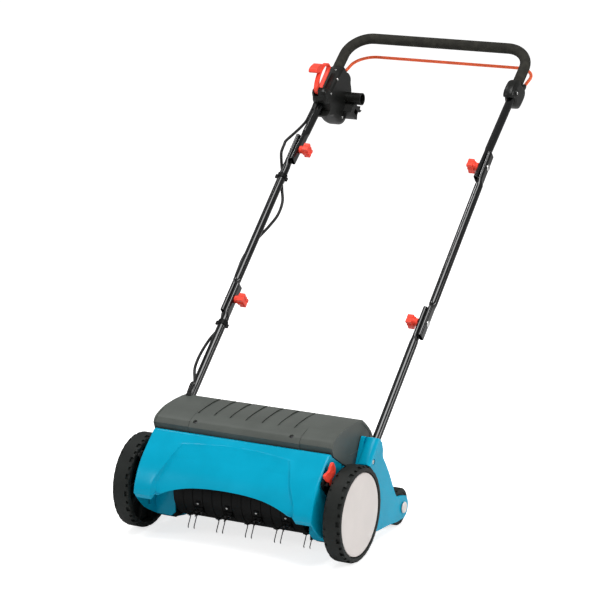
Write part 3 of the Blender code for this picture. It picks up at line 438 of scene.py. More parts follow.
for corner in hood.data.vertices:
    x, y, z = corner.co
    way = way_in.get((round(y, 5), round(z, 5)))
    if not way:
        continue
    side, ramp = between(z, RECESS_SIDE), between(z, RECESS_RAMP)
    across = between(abs(x), [(0.0, 0.0), (COLUMN_IN - step, side - ramp - CREASE),
        (COLUMN_IN + step, side - ramp + CREASE), (COLUMN_OUT - step, side - CREASE),
        (COLUMN_OUT + step, side + CREASE), (HOOD_HALF, HOOD_HALF)])
    crest, foot = CREST - 0.4 * across**2, FOOT - 0.25 * across**2
    if 0.112 < z < 0.2215:                  # a front row slides along the profile to the creases
        z = between(z, [(0.112, 0.112), (FOOT - CREASE, foot - CREASE),
            (FOOT + CREASE, foot + CREASE), (CREST - CREASE, crest - CREASE),
            (CREST + CREASE, crest + CREASE), (0.2215, 0.2215)])
        y = on_front(z)[0]
    depth = (between(z, RECESS_DEPTH) * between(z, [(foot, 1.0), (crest, 0.0)])
        * between(across, [(side - ramp, 1.0), (side, 0.0)]))
    on_crest = abs(z - crest) < 1.5 * CREASE and across < side + 2 * CREASE
    if on_crest or (abs(across - side) < 2 * CREASE and z < crest):
        depth -= BEAD * eased(z, 0.118, 0.135)
    over = max(across - (HOOD_HALF - END_ROUND), 0.0)
    depth += (END_ROUND - math.sqrt(max(END_ROUND**2 - over**2, 0.0))) * 0.9
    corner.co = (math.copysign(across, x), y + way[0] * depth, z + way[1] * depth)

# The arch in front of the drum, the bay, both open ends, and the slots of the cross rod
ARCH_HALF = BAY_HALF - 0.0005
arch = [(x, 0.1378 - 0.6 * x**2 - 28.0 * x**4)
    for x in (ARCH_HALF * (count / 16 - 1) for count in range(33))]
cut(hood, front_block(arch + [(ARCH_HALF, -0.02), (-ARCH_HALF, -0.02)], -0.2, 0.2))
bay = inset(front, lambda y, z: between(z, RECESS_DEPTH) * between(z, [(FOOT, 1.0), (CREST, 0.0)])
    + HOOD_THIN)
cut(hood, side_block([(y, z) for y, z in bay if z > 0.1]
    + [(bay[-1][0], 0.0), (0.04, 0.0), (0.04, 0.24)], -BAY_HALF, BAY_HALF))
END_DEPTH = [(0.11, 0.0088), (0.14, 0.0062), (0.16, HOOD_WALL)]
end_bay = [(y, z) for y, z in inset(front, lambda y, z: between(z, END_DEPTH))
    if y < BULKHEAD_Y[0] - 0.002]
end_bay += [(end_bay[-1][0], 0.0), (BULKHEAD_Y[0], 0.0), (BULKHEAD_Y[0], end_bay[0][1])]
SLOT_ARC = [math.radians(angle) for angle in range(131, 152, 4)]
slot = [(0.045 + r * math.cos(a), 0.105 + r * math.sin(a))
    for r, arcs in ((0.1327, SLOT_ARC), (0.1197, SLOT_ARC[::-1])) for a in arcs]
for s in (-1, 1):
    x0, x1 = s * (BAY_HALF - 0.001), s * (HOOD_HALF - HOOD_WALL)
    cut(hood, side_block(end_bay, x0, x1), box(x0, x1, BULKHEAD_Y[1], 0.06, 0.0325, 0.24),
        side_block(slot, s * 0.19, s * 0.21),
        box(s * 0.19, s * 0.21, -0.0515, -0.044, 0.0665, 0.081))
rounded(hood, 0.001, 48.0, 2)
fitted(hood, "hood_shell", "deck", blue_shell, "front_hood")


# Motor cover
# One anthracite moulding over the motor and belt, screwed to the deck through its front edge.
# Seven louvre lines run from front to back over it, and each end has a shallow panel in front.
COVER_HALF = 0.207
COVER_TOP = mm((-12.5, 218.6), (-19.3, 236.7), (-15, 244), (-6, 250.6), (26, 259.5), (71.4, 262.5),
    (112, 261.2), (128.5, 255), (163, 226), (178, 200), (186.5, 170), (187.5, 149))
COVER_UNDER = [(0.1, 0.165), (0.06, 0.178), (0.03, 0.191)]
COVER_WALL = 0.0034
LOUVRES, LOUVRE_PITCH, FIRST_LOUVRE = 7, 0.0373, -0.124
LOUVRE_DEPTH, LOUVRE_SLIT, LOUVRE_RAMP, LOUVRE_HOOK = 0.0027, 0.0019, 0.011, 0.004
PANEL_DEPTH, PANEL_END_Y = 0.0012, 0.04
COVER_SCREW = (0.1115, -0.011, 0.2472)
anthracite = moulded("anthracite_moulding", "anthracite_plastic", paint(78, 82, 78), 0.46, 1400.0,
    0.00005, 0.08, [(GLOSS, 0.25)])

ridge = ([COVER_TOP[0]] + flowing(COVER_TOP[1:6], 6)[:-1] + flowing(COVER_TOP[5:11], 5)
    + [COVER_TOP[11]])
cover = side_block(ridge + COVER_UNDER, -COVER_HALF, -0.07, 0.07, COVER_HALF)
inside = inset(ridge, -COVER_WALL)
cut(cover, side_block([(inside[0][0], 0.19)] + inside + [(0.183, 0.1), (0.06, 0.1)],
    COVER_WALL - COVER_HALF, COVER_HALF - COVER_WALL))
rounded(cover, 0.0018, 50.0, 3)
front_part = [(y, z) for y, z in ridge if y < PANEL_END_Y]
panel = (inset(front_part, lambda y, z: -PANEL_DEPTH * (1 - eased(y, 0.008, 0.034)) + 0.0001)
    + inset(front_part, 0.006)[::-1])
for x0, x1 in ((-0.203, FIRST_LOUVRE), (0.1325, 0.203)):
    cut(cover, side_block(panel, x0, x1))
seam = (inset(front_part, lambda y, z: -0.0024 * (1 - eased(y, 0.014, 0.03)) + 0.0001)
    + inset(front_part, 0.006)[::-1])
cut(cover, side_block(seam, FIRST_LOUVRE - 0.0006, FIRST_LOUVRE + 0.0008))
run = [(y, z) for y, z in flowing(COVER_TOP[1:9], 10) if 0.012 < y < 0.128]
for count in range(LOUVRES):
    x = FIRST_LOUVRE + count * LOUVRE_PITCH
    groove = [(y, z - LOUVRE_DEPTH * (eased(y, 0.013, 0.022) - eased(y, 0.11, 0.127)) + 0.0001)
        for y, z in run]
    groove += [(y, z + 0.008) for y, z in (run[-1], run[0])]
    tool = extruded([(x, y, z) for y, z in groove], (LOUVRE_SLIT, 0, 0),
        (LOUVRE_RAMP, 0, LOUVRE_DEPTH + 0.0004))
    for corner in tool.data.vertices:       # the front end of the line hooks to the right
        corner.co.x += LOUVRE_HOOK * (1 - eased(corner.co.y, 0.014, 0.03))
    cut(cover, tool)
for s in (-1, 1):
    bpy.ops.mesh.primitive_cylinder_add(vertices=32, radius=0.0046, depth=0.01,
        location=(s * COVER_SCREW[0], COVER_SCREW[1], COVER_SCREW[2] + 0.0025))
    cut(cover, bpy.context.object)
    side_panel = inset([(y, z) for y, z in ridge if z > 0.22], -0.006)
    cut(cover, side_block(side_panel + [(0.15, 0.2), (0.06, 0.2), (0.02, 0.215)],
        s * (COVER_HALF - 0.001), s * (COVER_HALF + 0.01)))
rounded(cover, 0.0005, 40.0, 2)
fitted(cover, "motor_cover_shell", "deck", anthracite, "motor_cover", smooth=30.0)


# Side arms
# A blue moulding on each side that carries the rear wheel and grips the handle tube in a round
# socket. It is hollow underneath, and a screw through the shoulder holds the tube.
SIDES = (("left", -1), ("right", 1))
ARM_INNER, ARM_OUTER, SHOULDER_INNER = 0.2075, 0.2475, 0.2172
REAR_AXLE = (0.24, 0.04)
LOWER_LEAN, LOWER_FOLD = math.radians(48.4), (0.37, 0.409)
TUBE_X, TUBE_R, SOCKET_R = 0.2265, 0.00925, 0.0162
SHOULDER_SCREW = (0.093, 0.1826)


def arc(radius, start, end, steps, y=0.0, z=0.0):
    """Side view points on an arc, from one angle in degrees to another."""
    turns = [math.radians(start + (end - start) * i / steps) for i in range(steps + 1)]
    return [(y + radius * math.cos(turn), z + radius * math.sin(turn)) for turn in turns]


def rod(radius, x0, x1, y=0.0, z=0.0, sides=48):
    """A round bar across the machine."""
    bpy.ops.object.select_all(action="DESELECT")
    bpy.ops.mesh.primitive_cylinder_add(vertices=sides, radius=radius, depth=abs(x1 - x0),
        location=((x0 + x1) / 2, y, z), rotation=(0, math.pi / 2, 0))
    bpy.ops.object.transform_apply()
    return bpy.context.object


def upright(radius, x, y, z0, z1, sides=48):
    """A round bar along Z."""
    bpy.ops.object.select_all(action="DESELECT")
    bpy.ops.mesh.primitive_cylinder_add(vertices=sides, radius=radius, depth=z1 - z0,
        location=(x, y, (z0 + z1) / 2))
    bpy.ops.object.transform_apply()
    return bpy.context.object


def put(piece, place):
    """Moves a piece by a matrix, into its vertices."""
    picked(piece)
    piece.matrix_world = place @ piece.matrix_world
    bpy.ops.object.transform_apply()
    return piece


AT_LOWER_FOLD = at(0, *LOWER_FOLD, -LOWER_LEAN)
arm_outline = ([(0.111, 0.2235), (0.077, 0.188)] + arc(0.106, 46.0, -32.0, 24, 0.0, 0.1045)
    + flowing(mm((96, 30), (120, 26), (175, 21.4), (208.5, 16.3)), 3)
    + arc(0.0262, -75.0, 55.0, 16, *REAR_AXLE)
    + flowing(mm((236.6, 66.7), (207.5, 74.5), (190, 101), (173, 131.4), (154, 160), (139, 181),
    (138.5, 198), (131, 215), (122, 224.5), (116, 226.2)), 4))
shoulder_step = mm((121, 240), (88, 174), (70, 174), (70, 240))
arm_pocket = mm((104, 0), (104, 60), (111, 100), (106, 135), (112, 150), (146, 150), (166, 126),
    (186, 90), (190, 60), (185, 0))
wheel_notch = arc(0.0435, 90.0, 200.0, 20, *REAR_AXLE) + mm((199, -20), (300, -20), (300, 83.5))
inner_wall = mm((31, 30), (31, 187), (60, 176), (100, 163), (185, 147), (180, 120), (195, 90),
    (195, 30))
wall_join = mm((112, 32), (112, 144), (164, 144), (192, 90), (192, 32))
SHOULDER_ROUND = 0.0185         # the shoulder's front is part of a cylinder
AT_SHOULDER = at(0, 0.094, 0.2058, math.radians(-43.7))
for side, s in SIDES:
    arm = side_block(arm_outline, s * ARM_INNER, s * ARM_OUTER)
    cut(arm, side_block(shoulder_step, s * 0.206, s * SHOULDER_INNER))
    rounded(arm, 0.005, 50.0, 5)
    shoulder = box(s * SHOULDER_INNER, s * 0.2495, -0.006, SHOULDER_ROUND, -0.06, 0.045)
    cut(shoulder, upright(SHOULDER_ROUND, s * (SHOULDER_INNER + ARM_OUTER) / 2, SHOULDER_ROUND,
        -0.07, 0.06, 96))
    cut(arm, put(shoulder, AT_SHOULDER))
    socket = put(upright(SOCKET_R, s * TUBE_X, 0.0, -0.355, -0.3), AT_LOWER_FOLD)
    rounded(socket, 0.003, 50.0, 3)
    joined(arm, socket)
    cut(arm, put(upright(TUBE_R + 0.0004, s * TUBE_X, 0.0, -0.356, -0.2), AT_LOWER_FOLD),
        side_block(wheel_notch, s * 0.19, s * 0.2412),
        side_block(arm_pocket, s * 0.2115, s * 0.244),
        rod(0.0054, s * 0.23, s * 0.26, *REAR_AXLE),
        rod(0.0062, s * 0.245, s * 0.26, *SHOULDER_SCREW))
    joined(arm, side_block(inner_wall, s * 0.199, s * 0.207),
        side_block(wall_join, s * 0.1992, s * 0.2085),
        rod(0.004, s * 0.206, s * 0.2145, 0.045, 0.105),
        rod(0.007, s * 0.214, s * 0.216, 0.045, 0.105))
    rounded(arm, 0.0007)
    fitted(arm, f"side_arm_{side}", "deck", blue_shell, f"side_frame_{side}")


# Tine drum
# A black moulded roller on a steel shaft, with thin grooves turned between the tines. Each pair of
# spring tines is wound from one wire, sits on a raised pad and is held down by a bright screw.
DRUM_Y, DRUM_Z, DRUM_R, DRUM_HALF = 0.022, 0.1, 0.064, 0.15
TINE_ROWS, TINE_PITCH, TINE_LEG, TINE_WIRE = 6, 0.068, 0.007, 0.0011
AT_DRUM = at(0, DRUM_Y, DRUM_Z)
RING_MERGE = 0.000004           # a wider merge would close up thin round pieces
black_moulding = moulded("black_moulding", "black_plastic", paint(7, 8, 8), 0.46, 1100.0, 0.00004,
    0.2, [(GLOSS, 0.12)])
tyre_moulding = moulded("tyre_moulding", "tyre_plastic", paint(25, 28, 26), 0.6, 700.0, 0.00012,
    0.24, [(GLOSS, 0.22)])


def steel(name, slot, colour, roughness, stretch):
    """Bare or plated steel: fine drawn lines along one axis, and a little uneven dullness."""
    made = Finish(name, slot, colour, roughness, [("Metallic", 1.0)])
    lines = made.noise(260.0, 3.0, made.place(stretch))
    dull = made.noise(35.0, 3.0)
    return made.feed({"Roughness": made.band(dull, 0.2, 0.8) * 0.16 + (roughness - 0.06),
        "Normal": made.raised(lines, 0.00002)})


bright_steel = steel("plated_steel", "zinc_steel", (0.56, 0.56, 0.55, 1.0), 0.3, (0.06, 1.0, 1.0))
dark_steel = steel("dark_spring_steel", "zinc_steel", (0.06, 0.06, 0.062, 1.0), 0.38,
    (1.0, 1.0, 0.2))


def turned(profile, sides=72, closed=True, way=1):
    """A round solid about the X axis, from its half section of (x, radius) points. A profile
    that ends on the axis at both ends isn't closed. With way=-1 it is mirrored to the left."""
    line = [(way * x, r, 0.0) for x, r in profile]
    target = drawn(line + line[:1] if closed else line, face=False)
    applied(target, "SCREW", axis="X", steps=sides, render_steps=sides, use_merge_vertices=True,
        merge_threshold=RING_MERGE)
    applied(target, "WELD", merge_threshold=RING_MERGE)
    return settled()


def wire(points, radius, sides=8):
    """A round wire or tube, solid, through the points."""
    drawn(points, face=False)
    bpy.ops.object.convert(target="CURVE")
    curve = bpy.context.object.data
    curve.bevel_depth, curve.bevel_resolution, curve.use_fill_caps = radius, sides // 2 - 2, True
    bpy.ops.object.convert(target="MESH")
    applied(bpy.context.object, "WELD", merge_threshold=0.000002)
    return settled()


def spread(target, places):
    """Copies of a piece at many places, all in one object."""
    copies = []
    for place in places:
        copy = target.copy()
        copy.data = target.data.copy()
        copy.matrix_world = place @ target.matrix_world
        bpy.context.collection.objects.link(copy)
        copies.append(copy)
    bpy.data.objects.remove(target)
    picked(copies[0])
    for copy in copies:
        copy.select_set(True)
    bpy.ops.object.join()
    bpy.ops.object.transform_apply()
    return bpy.context.object


def round_x(count, first=0.0):
    """Evenly spaced turns about the X axis."""
    return [at(turn=first + math.tau * i / count) for i in range(count)]


def mirrored(points):
    """The points' mirror image on the other side of the machine, last one first."""
    return [(-x, *rest) for x, *rest in reversed(points)]


# A tine's own frame has its root on the axis of the drum and +Z outward
tine_places = [
    at(-2 * TINE_PITCH + k * TINE_PITCH + (row % 3) * TINE_PITCH / 3, 0, 0,
        math.tau * row / TINE_ROWS - math.pi)
    for row in range(TINE_ROWS) for k in range(5 if row % 3 == 0 else 4)]
GROOVE = 0.0012                 # depth of a groove, and half its width at the top
skin = [(-DRUM_HALF, DRUM_R - 0.004), (-DRUM_HALF + GROOVE, DRUM_R - GROOVE),
    (-DRUM_HALF + 0.004, DRUM_R)]
far_end = mirrored(skin)
for x in (-2 * TINE_PITCH + (k + 0.5) * TINE_PITCH / 3 for k in range(-1, 13)):
    if abs(x) < DRUM_HALF - 0.006:
        skin += [(x - GROOVE, DRUM_R), (x - 0.0008, DRUM_R - GROOVE),
            (x + 0.0008, DRUM_R - GROOVE), (x + GROOVE, DRUM_R)]
hollow_end = [(DRUM_HALF, 0.058), (0.006, 0.058), (0.006, 0.014), (DRUM_HALF, 0.014),
    (DRUM_HALF, 0.0063)]
roller = turned(skin + far_end + hollow_end + mirrored(hollow_end), 96)
pad = rounded(box(-0.0098, 0.0098, -0.01, 0.006, 0.06, 0.0662), 0.0012)
screw_places = [place @ at(turn=math.radians(-8.0)) for place in tine_places]
seat = rounded(box(-0.0052, 0.0052, 0.001, 0.0118, 0.06, 0.0654), 0.001)
joined(roller, spread(pad, tine_places), spread(seat, screw_places))
fitted(put(roller, AT_DRUM), "drum_roller", "drum", black_moulding, "tine_drum", smooth=35.0)

leg = flowing(mm((10.8, 95), (12.2, 92.2), (10.4, 88), (5, 79), (-1, 69)), 4)
coil = [(0.0027 * math.cos(turn) - 0.004, 0.0027 * math.sin(turn) + 0.068)
    for turn in (0.4 + math.tau * i / 12 for i in range(20))]
half = [(TINE_LEG, y, z) for y, z in leg]
half += [(TINE_LEG - 0.0026 * i / 19, y, z) for i, (y, z) in enumerate(coil)]
tines = wire(half + mirrored(half), TINE_WIRE, 8)
tines = put(spread(tines, tine_places), AT_DRUM)
fitted(tines, "spring_tines", "drum", dark_steel, smooth=50.0)

bpy.ops.mesh.primitive_uv_sphere_add(segments=20, ring_count=10, radius=0.0026,
    location=(0, 0.0066, 0.0658))
screw = bpy.context.object
screw.scale = (1.0, 1.0, 0.6)
screw = settled()
cut(screw, box(-0.003, 0.003, 0.0062, 0.007, 0.0667, 0.07))
heads = put(spread(screw, screw_places), AT_DRUM)
fitted(heads, "drum_screws", "drum", bright_steel, smooth=40.0)


# Drive, shroud and axle
# The belt drive in the left end, the motor, the curved shroud over the drum, the bearing plates
# and the rear axle keep their CAD shapes, and take the finish of steel, rubber or moulding.
def rubber(name, slot, colour, roughness, ribs_per_metre, along):
    """Soft rubber with shallow ribs across one axis, and dusty patches."""
    made = Finish(name, slot, colour, roughness, [(GLOSS, 0.3)])
    ribs = made.node("ShaderNodeTexWave", {"bands_direction": along}, {
        "Vector": made.place(), "Scale": ribs_per_metre / 6.283, "Distortion": 0.0})
    dust = made.noise(30.0, 5.0)
    lighter = tuple(level * 1.9 for level in colour[:3]) + (1.0,)
    return made.feed({"Base Color": made.mix(made.band(dust, 0.5, 0.85), colour, lighter),
        "Roughness": made.band(dust, 0.2, 0.8) * 0.14 + (roughness - 0.05),
        "Normal": made.raised(ribs, 0.0002)})


belt_rubber = rubber("belt_rubber", "cable_rubber", paint(26, 26, 26), 0.7, 900.0, "X")
flap_rubber = rubber("flap_rubber", "cable_rubber", paint(30, 31, 30), 0.72, 120.0, "X")
laminations = Finish("motor_laminations", "zinc_steel", (0.32, 0.33, 0.34, 1.0), 0.42,
    [("Metallic", 1.0)])
stack = laminations.node("ShaderNodeTexWave", {"bands_direction": "X"},
    {"Vector": laminations.place(), "Scale": 160.0, "Distortion": 0.0})
patch = laminations.noise(60.0, 4.0)
laminations.feed({"Roughness": laminations.band(patch, 0.2, 0.8) * 0.25 + 0.3,
    "Normal": laminations.raised(stack, 0.00015)})


def painted(finish, *names):
    """Gives CAD nodes that are shown as they are their finish."""
    for name in names:
        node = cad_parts[name]
        node.data.materials.clear()
        node.data.materials.append(finish.material)


painted(black_moulding, "bearing_plate_left", "bearing_plate_right", "drum_shroud")
painted(bright_steel, "drum_bearing_left", "drum_bearing_right", "drum_shaft", "motor_pulley",
    "rear_axle")
painted(laminations, "motor_can", "motor_rotor")
painted(anthracite, "drum_pulley")
painted(blue_shell, "rear_panel")
painted(belt_rubber, "drive_belt")
painted(flap_rubber, "rear_flap")


# Height setting
# Two black arms and a coated cross rod carry the front wheels. The red lever is one moulding on
# the rod's right end, with a thumb rest at the top.
powder_black = moulded("black_powder_coat", "zinc_steel", paint(14, 15, 16), 0.27, 260.0, 0.00006,
    0.15)
painted(black_moulding, "wheel_arm_left", "wheel_arm_right")
painted(powder_black, "cross_rod")
red_moulding = moulded("red_moulding", "red_plastic", paint(238, 72, 54), 0.32, 1000.0, 0.00003,
    0.05, [(GLOSS, 0.25)])
LEVER = mm((-25, 199), (-33, 213), (-38.5, 214.5), (-45, 210), (-52, 201.5), (-70, 199),
    (-72, 193.5), (-64, 185), (-48, 170), (-44, 170.5), (-40, 180), (-28, 188))
lever = side_block(flowing(LEVER + LEVER[:1], 3)[:-1], 0.2129, 0.2189)
cut(lever, rod(0.0042, 0.2, 0.23, -0.06, 0.175))
rounded(lever, 0.0011, 45.0, 3)
cut(lever, side_block(mm((-34, 196), (-38, 207), (-42, 205), (-47, 197)), 0.2183, 0.22))
rounded(lever, 0.0004)
fitted(lever, "height_lever_grip", "height_yoke", red_moulding, "height_lever")


# Front wheels
# A black moulded tyre in one piece with its web and hub. Notches are cut round both shoulders, ribs
# stiffen the inner side, and a plain pale disc closes the outer side.
WHEEL_R, RIM_R, AXLE_Z = 0.0999, 0.088, 0.1
pale_grey = moulded("pale_grey_moulding", "grey_plastic", paint(214, 207, 203), 0.5, 800.0, 0.00005,
    0.03)
for side, s in SIDES:
    section = [(0.2237, RIM_R), (0.244, RIM_R), (0.244, 0.015), (0.2252, 0.015), (0.2252, 0.0064),
        (0.2548, 0.0064), (0.2548, 0.015), (0.248, 0.015), (0.248, RIM_R), (0.262, RIM_R),
        (0.2625, 0.0885), (0.2625, 0.0938), (0.2617, 0.0968), (0.2598, 0.0986), (0.256, WHEEL_R),
        (0.23, WHEEL_R), (0.2264, 0.0986), (0.2245, 0.0968), (0.2237, 0.0938)]
    tyre = turned(section, 120, way=s)
    for x, first in ((0.2617, 0.0), (0.2245, 0.1)):
        for notch_x, notch_half, turn in ((0.0076, 0.0056, 0.0), (0.005, 0.0034, 0.19)):
            notch = box(s * (x - notch_x), s * (x + notch_x), -notch_half, notch_half, 0.0958,
                0.103)
            cut(tyre, spread(notch, round_x(17, first=first + turn)))
    rib = box(s * 0.233, s * 0.2444, -0.0013, 0.0013, 0.012, 0.0885)
    joined(tyre, spread(rib, round_x(10, first=0.2)))
    cut(tyre, rod(0.0064, s * 0.224, s * 0.256))
    rounded(tyre, 0.0005)
    fitted(put(tyre, at(0, 0, AXLE_Z)), f"tyre_{side}", f"front_wheel_{side}", tyre_moulding,
        f"front_wheel_{side}")
    disc = turned(mm((257.7, 0), (257.7, 86.2), (259.8, 86.2), (260.9, 85.7), (261.5, 84.6),
        (261.9, 80), (262.3, 60), (262.5, 30), (262.6, 0)), 120, closed=False, way=s)
    fitted(put(disc, at(0, 0, AXLE_Z)), f"disc_{side}", f"front_wheel_{side}", pale_grey,
        f"wheel_disc_{side}", smooth=40.0)


# Rear wheels
# Two small black rollers with notched shoulders, on one steel axle. A pale cap clips on over each
# end of the axle, on the outside of the arm.
for side, s in SIDES:
    wheel = turned(mm((207.6, 5.4), (240.4, 5.4), (240.4, 12), (238.5, 13.5), (238.5, 31),
        (240.4, 32.5), (240.4, 37.2), (239.4, 39.2), (237.4, 40), (210.6, 40), (208.6, 39.2),
        (207.6, 37.2)), 72, way=s)
    for x in (0.2394, 0.2086):
        notch = box(s * (x - 0.004), s * (x + 0.004), -0.003, 0.003, 0.0382, 0.042)
        cut(wheel, spread(notch, round_x(16, first=0.0 if x > 0.22 else 0.2)))
    rounded(wheel, 0.0004)
    fitted(put(wheel, at(0, *REAR_AXLE)), f"rear_roller_{side}", f"rear_wheel_{side}",
        tyre_moulding, f"rear_wheel_{side}")
    cap = turned(mm((249.8, 0), (249.8, 11.9), (250.8, 11.9), (251.7, 11.4), (252.4, 9.8),
        (252.7, 6), (252.8, 0)), 64, closed=False, way=s)
    fitted(put(cap, at(0, *REAR_AXLE)), f"axle_cap_{side}", "deck", pale_grey,
        f"rear_axle_cap_{side}", smooth=40.0)


# Handle tubes
# Steel tube of 18.5 mm, coated black. The ends that meet at a fold are pressed flat, 10 mm thick,
# and lie side by side there. The lower pair is pushed into the side arms, and the top is one bow.
FLAT_X, FLAT_Y, FLAT_END, FLAT_EASE = 0.005, 0.0118, 0.036, 0.016
MIDDLE_X, FOLD_SPAN, UPPER_LEAN = 0.2368, 0.4223, math.radians(52.4)
BOLT_HOLE_R, HOLLOW = 0.0033, 0.016
GRIP_REACH, GRIP_CORNER = 0.361, 0.058
AT_UPPER_FOLD = at(0, LOWER_FOLD[0] + FOLD_SPAN * math.sin(LOWER_LEAN),
    LOWER_FOLD[1] + FOLD_SPAN * math.cos(LOWER_LEAN), -UPPER_LEAN)
LOWER_SEAT, UPPER_SEAT = DECK @ AT_LOWER_FOLD, DECK @ AT_UPPER_FOLD
tube_coat = moulded("tube_powder_coat", "black_coating", paint(8, 9, 10), 0.13, 300.0, 0.000001,
    0.15)


def pressed_section(turn):
    """A point of a pressed end's section, at a share of the way round it from +X."""
    straight = FLAT_Y - FLAT_X
    along = (turn % 1.0) * (4 * straight + math.tau * FLAT_X)
    for start_y, way in ((0.0, 1), (straight, -1)):
        length = straight if way > 0 else 2 * straight
        if along < length:
            return (way * FLAT_X, start_y + way * along)
        along -= length
        if along < math.pi * FLAT_X:
            a = along / FLAT_X + (0.0 if way > 0 else math.pi)
            return (FLAT_X * math.cos(a), way * straight + FLAT_X * math.sin(a))
        along -= math.pi * FLAT_X
    return (FLAT_X, along - straight)


def pressed(tube, centre_x, flat_share):
    """Presses a round tube flat where flat_share says, at a height along it."""
    for corner in tube.data.vertices:
        x, y, z = corner.co
        share = flat_share(z)
        if share > 0 and abs(abs(x) - centre_x) < 0.012:
            middle = math.copysign(centre_x, x)
            flat = pressed_section(math.atan2(y, x - middle) / math.tau)
            corner.co = (x + (middle + flat[0] - x) * share, y + (flat[1] - y) * share, z)
    return tube


def end_hollow(x, z0, z1):
    """What is cut out of a pressed end, so that its wall shows."""
    section = [pressed_section(step / 32) for step in range(32)]
    return extruded([(x + sx * 0.74, sy * 0.88, z0) for sx, sy in section], (0, 0, z1 - z0))


def flat_at_start(z):
    return 1 - eased(z, FLAT_END, FLAT_END + FLAT_EASE)


def flat_at_end(z, end):
    return eased(z, end - FLAT_EASE, end)


ease_in = [FLAT_END + FLAT_EASE * step / 6 for step in range(7)]
for side, s in SIDES:
    stations = [-0.3555, *[-z for z in reversed(ease_in)], FLAT_END]
    tube = wire([(s * TUBE_X, 0, z) for z in stations], TUBE_R, 32)
    pressed(tube, TUBE_X, lambda z: flat_at_end(z, -FLAT_END))
    cut(tube, end_hollow(s * TUBE_X, FLAT_END - HOLLOW, FLAT_END + 0.001),
        rod(BOLT_HOLE_R, s * 0.21, s * 0.24))
    rounded(tube, 0.0004)
    fitted(tube, f"lower_leg_{side}", "deck", tube_coat, f"lower_tube_{side}", seat=LOWER_SEAT)
    stations = [-FLAT_END, *ease_in, *[FOLD_SPAN - z for z in reversed(ease_in)],
        FOLD_SPAN + FLAT_END]
    tube = wire([(s * MIDDLE_X, 0, z) for z in stations], TUBE_R, 32)
    pressed(tube, MIDDLE_X, lambda z: max(flat_at_start(z), flat_at_end(z, FOLD_SPAN - FLAT_END)))
    cut(tube, end_hollow(s * MIDDLE_X, -FLAT_END - 0.001, HOLLOW - FLAT_END),
        end_hollow(s * MIDDLE_X, FOLD_SPAN + FLAT_END - HOLLOW, FOLD_SPAN + FLAT_END + 0.001),
        rod(BOLT_HOLE_R, s * 0.22, s * 0.25), rod(BOLT_HOLE_R, s * 0.22, s * 0.25, 0, FOLD_SPAN))
    rounded(tube, 0.0004)
    fitted(tube, f"middle_leg_{side}", "middle_handle", tube_coat, f"middle_tube_{side}",
        seat=LOWER_SEAT)


def bow(half, start, top, corner, steps=14):
    """The line of a bow that rises on the left, crosses, and comes down on the right."""
    line = [(-half, 0.0, start)]
    for middle, first in ((corner - half, 180.0), (half - corner, 90.0)):
        bend = arc(corner, first, first - 90.0, steps, middle, top - corner)
        line += [(x, 0.0, z) for x, z in bend]
    return line + [(half, 0.0, start)]


legs = [(-TUBE_X, 0.0, z) for z in (-FLAT_END, *ease_in)]
handle = wire(legs + bow(TUBE_X, 0.25, GRIP_REACH, GRIP_CORNER) + mirrored(legs), TUBE_R, 32)
pressed(handle, TUBE_X, flat_at_start)
for s in (-1, 1):
    cut(handle, end_hollow(s * TUBE_X, -FLAT_END - 0.001, HOLLOW - FLAT_END),
        rod(BOLT_HOLE_R, s * 0.21, s * 0.24))
rounded(handle, 0.0004)
fitted(handle, "upper_bow", "upper_handle", tube_coat, "upper_handle_tube", seat=UPPER_SEAT)


# Foam grip
# A black foam sleeve, pushed over the whole of the bow between the switch housing and the clamp.
FOAM_R, FOAM_START = 0.0123, 0.254
CLEARANCE = 0.0003              # round a tube or a pin
foam = Finish("grip_foam", "foam", paint(52, 51, 44), 0.88, [(GLOSS, 0.25)])
cells = foam.node("ShaderNodeTexVoronoi", {}, {"Vector": foam.place(), "Scale": 900.0})
creases = foam.noise(60.0, 5.0)
# Painted shade: the foam's colour is darker in its creases and lighter on its raised parts, and its
# roughness follows the same share
crease_shade = foam.band(creases, 0.35, 0.75)
foam.feed({"Base Color": foam.mix(crease_shade, paint(32, 31, 27), paint(48, 47, 41)),
    "Roughness": crease_shade * 0.08 + 0.84,
    "Normal": foam.raised(creases, 0.00016, foam.raised(cells, 0.00018))})
grip = wire(bow(TUBE_X, FOAM_START, GRIP_REACH, GRIP_CORNER), FOAM_R, 32)
rounded(grip, 0.0012, 60.0, 3)
for s in (-1, 1):
    cut(grip,
        upright(TUBE_R + CLEARANCE, s * TUBE_X, 0, FOAM_START - 0.001, FOAM_START + 0.008, 40))
fitted(grip, "foam_sleeve", "upper_handle", foam, "foam_grip", seat=UPPER_SEAT)


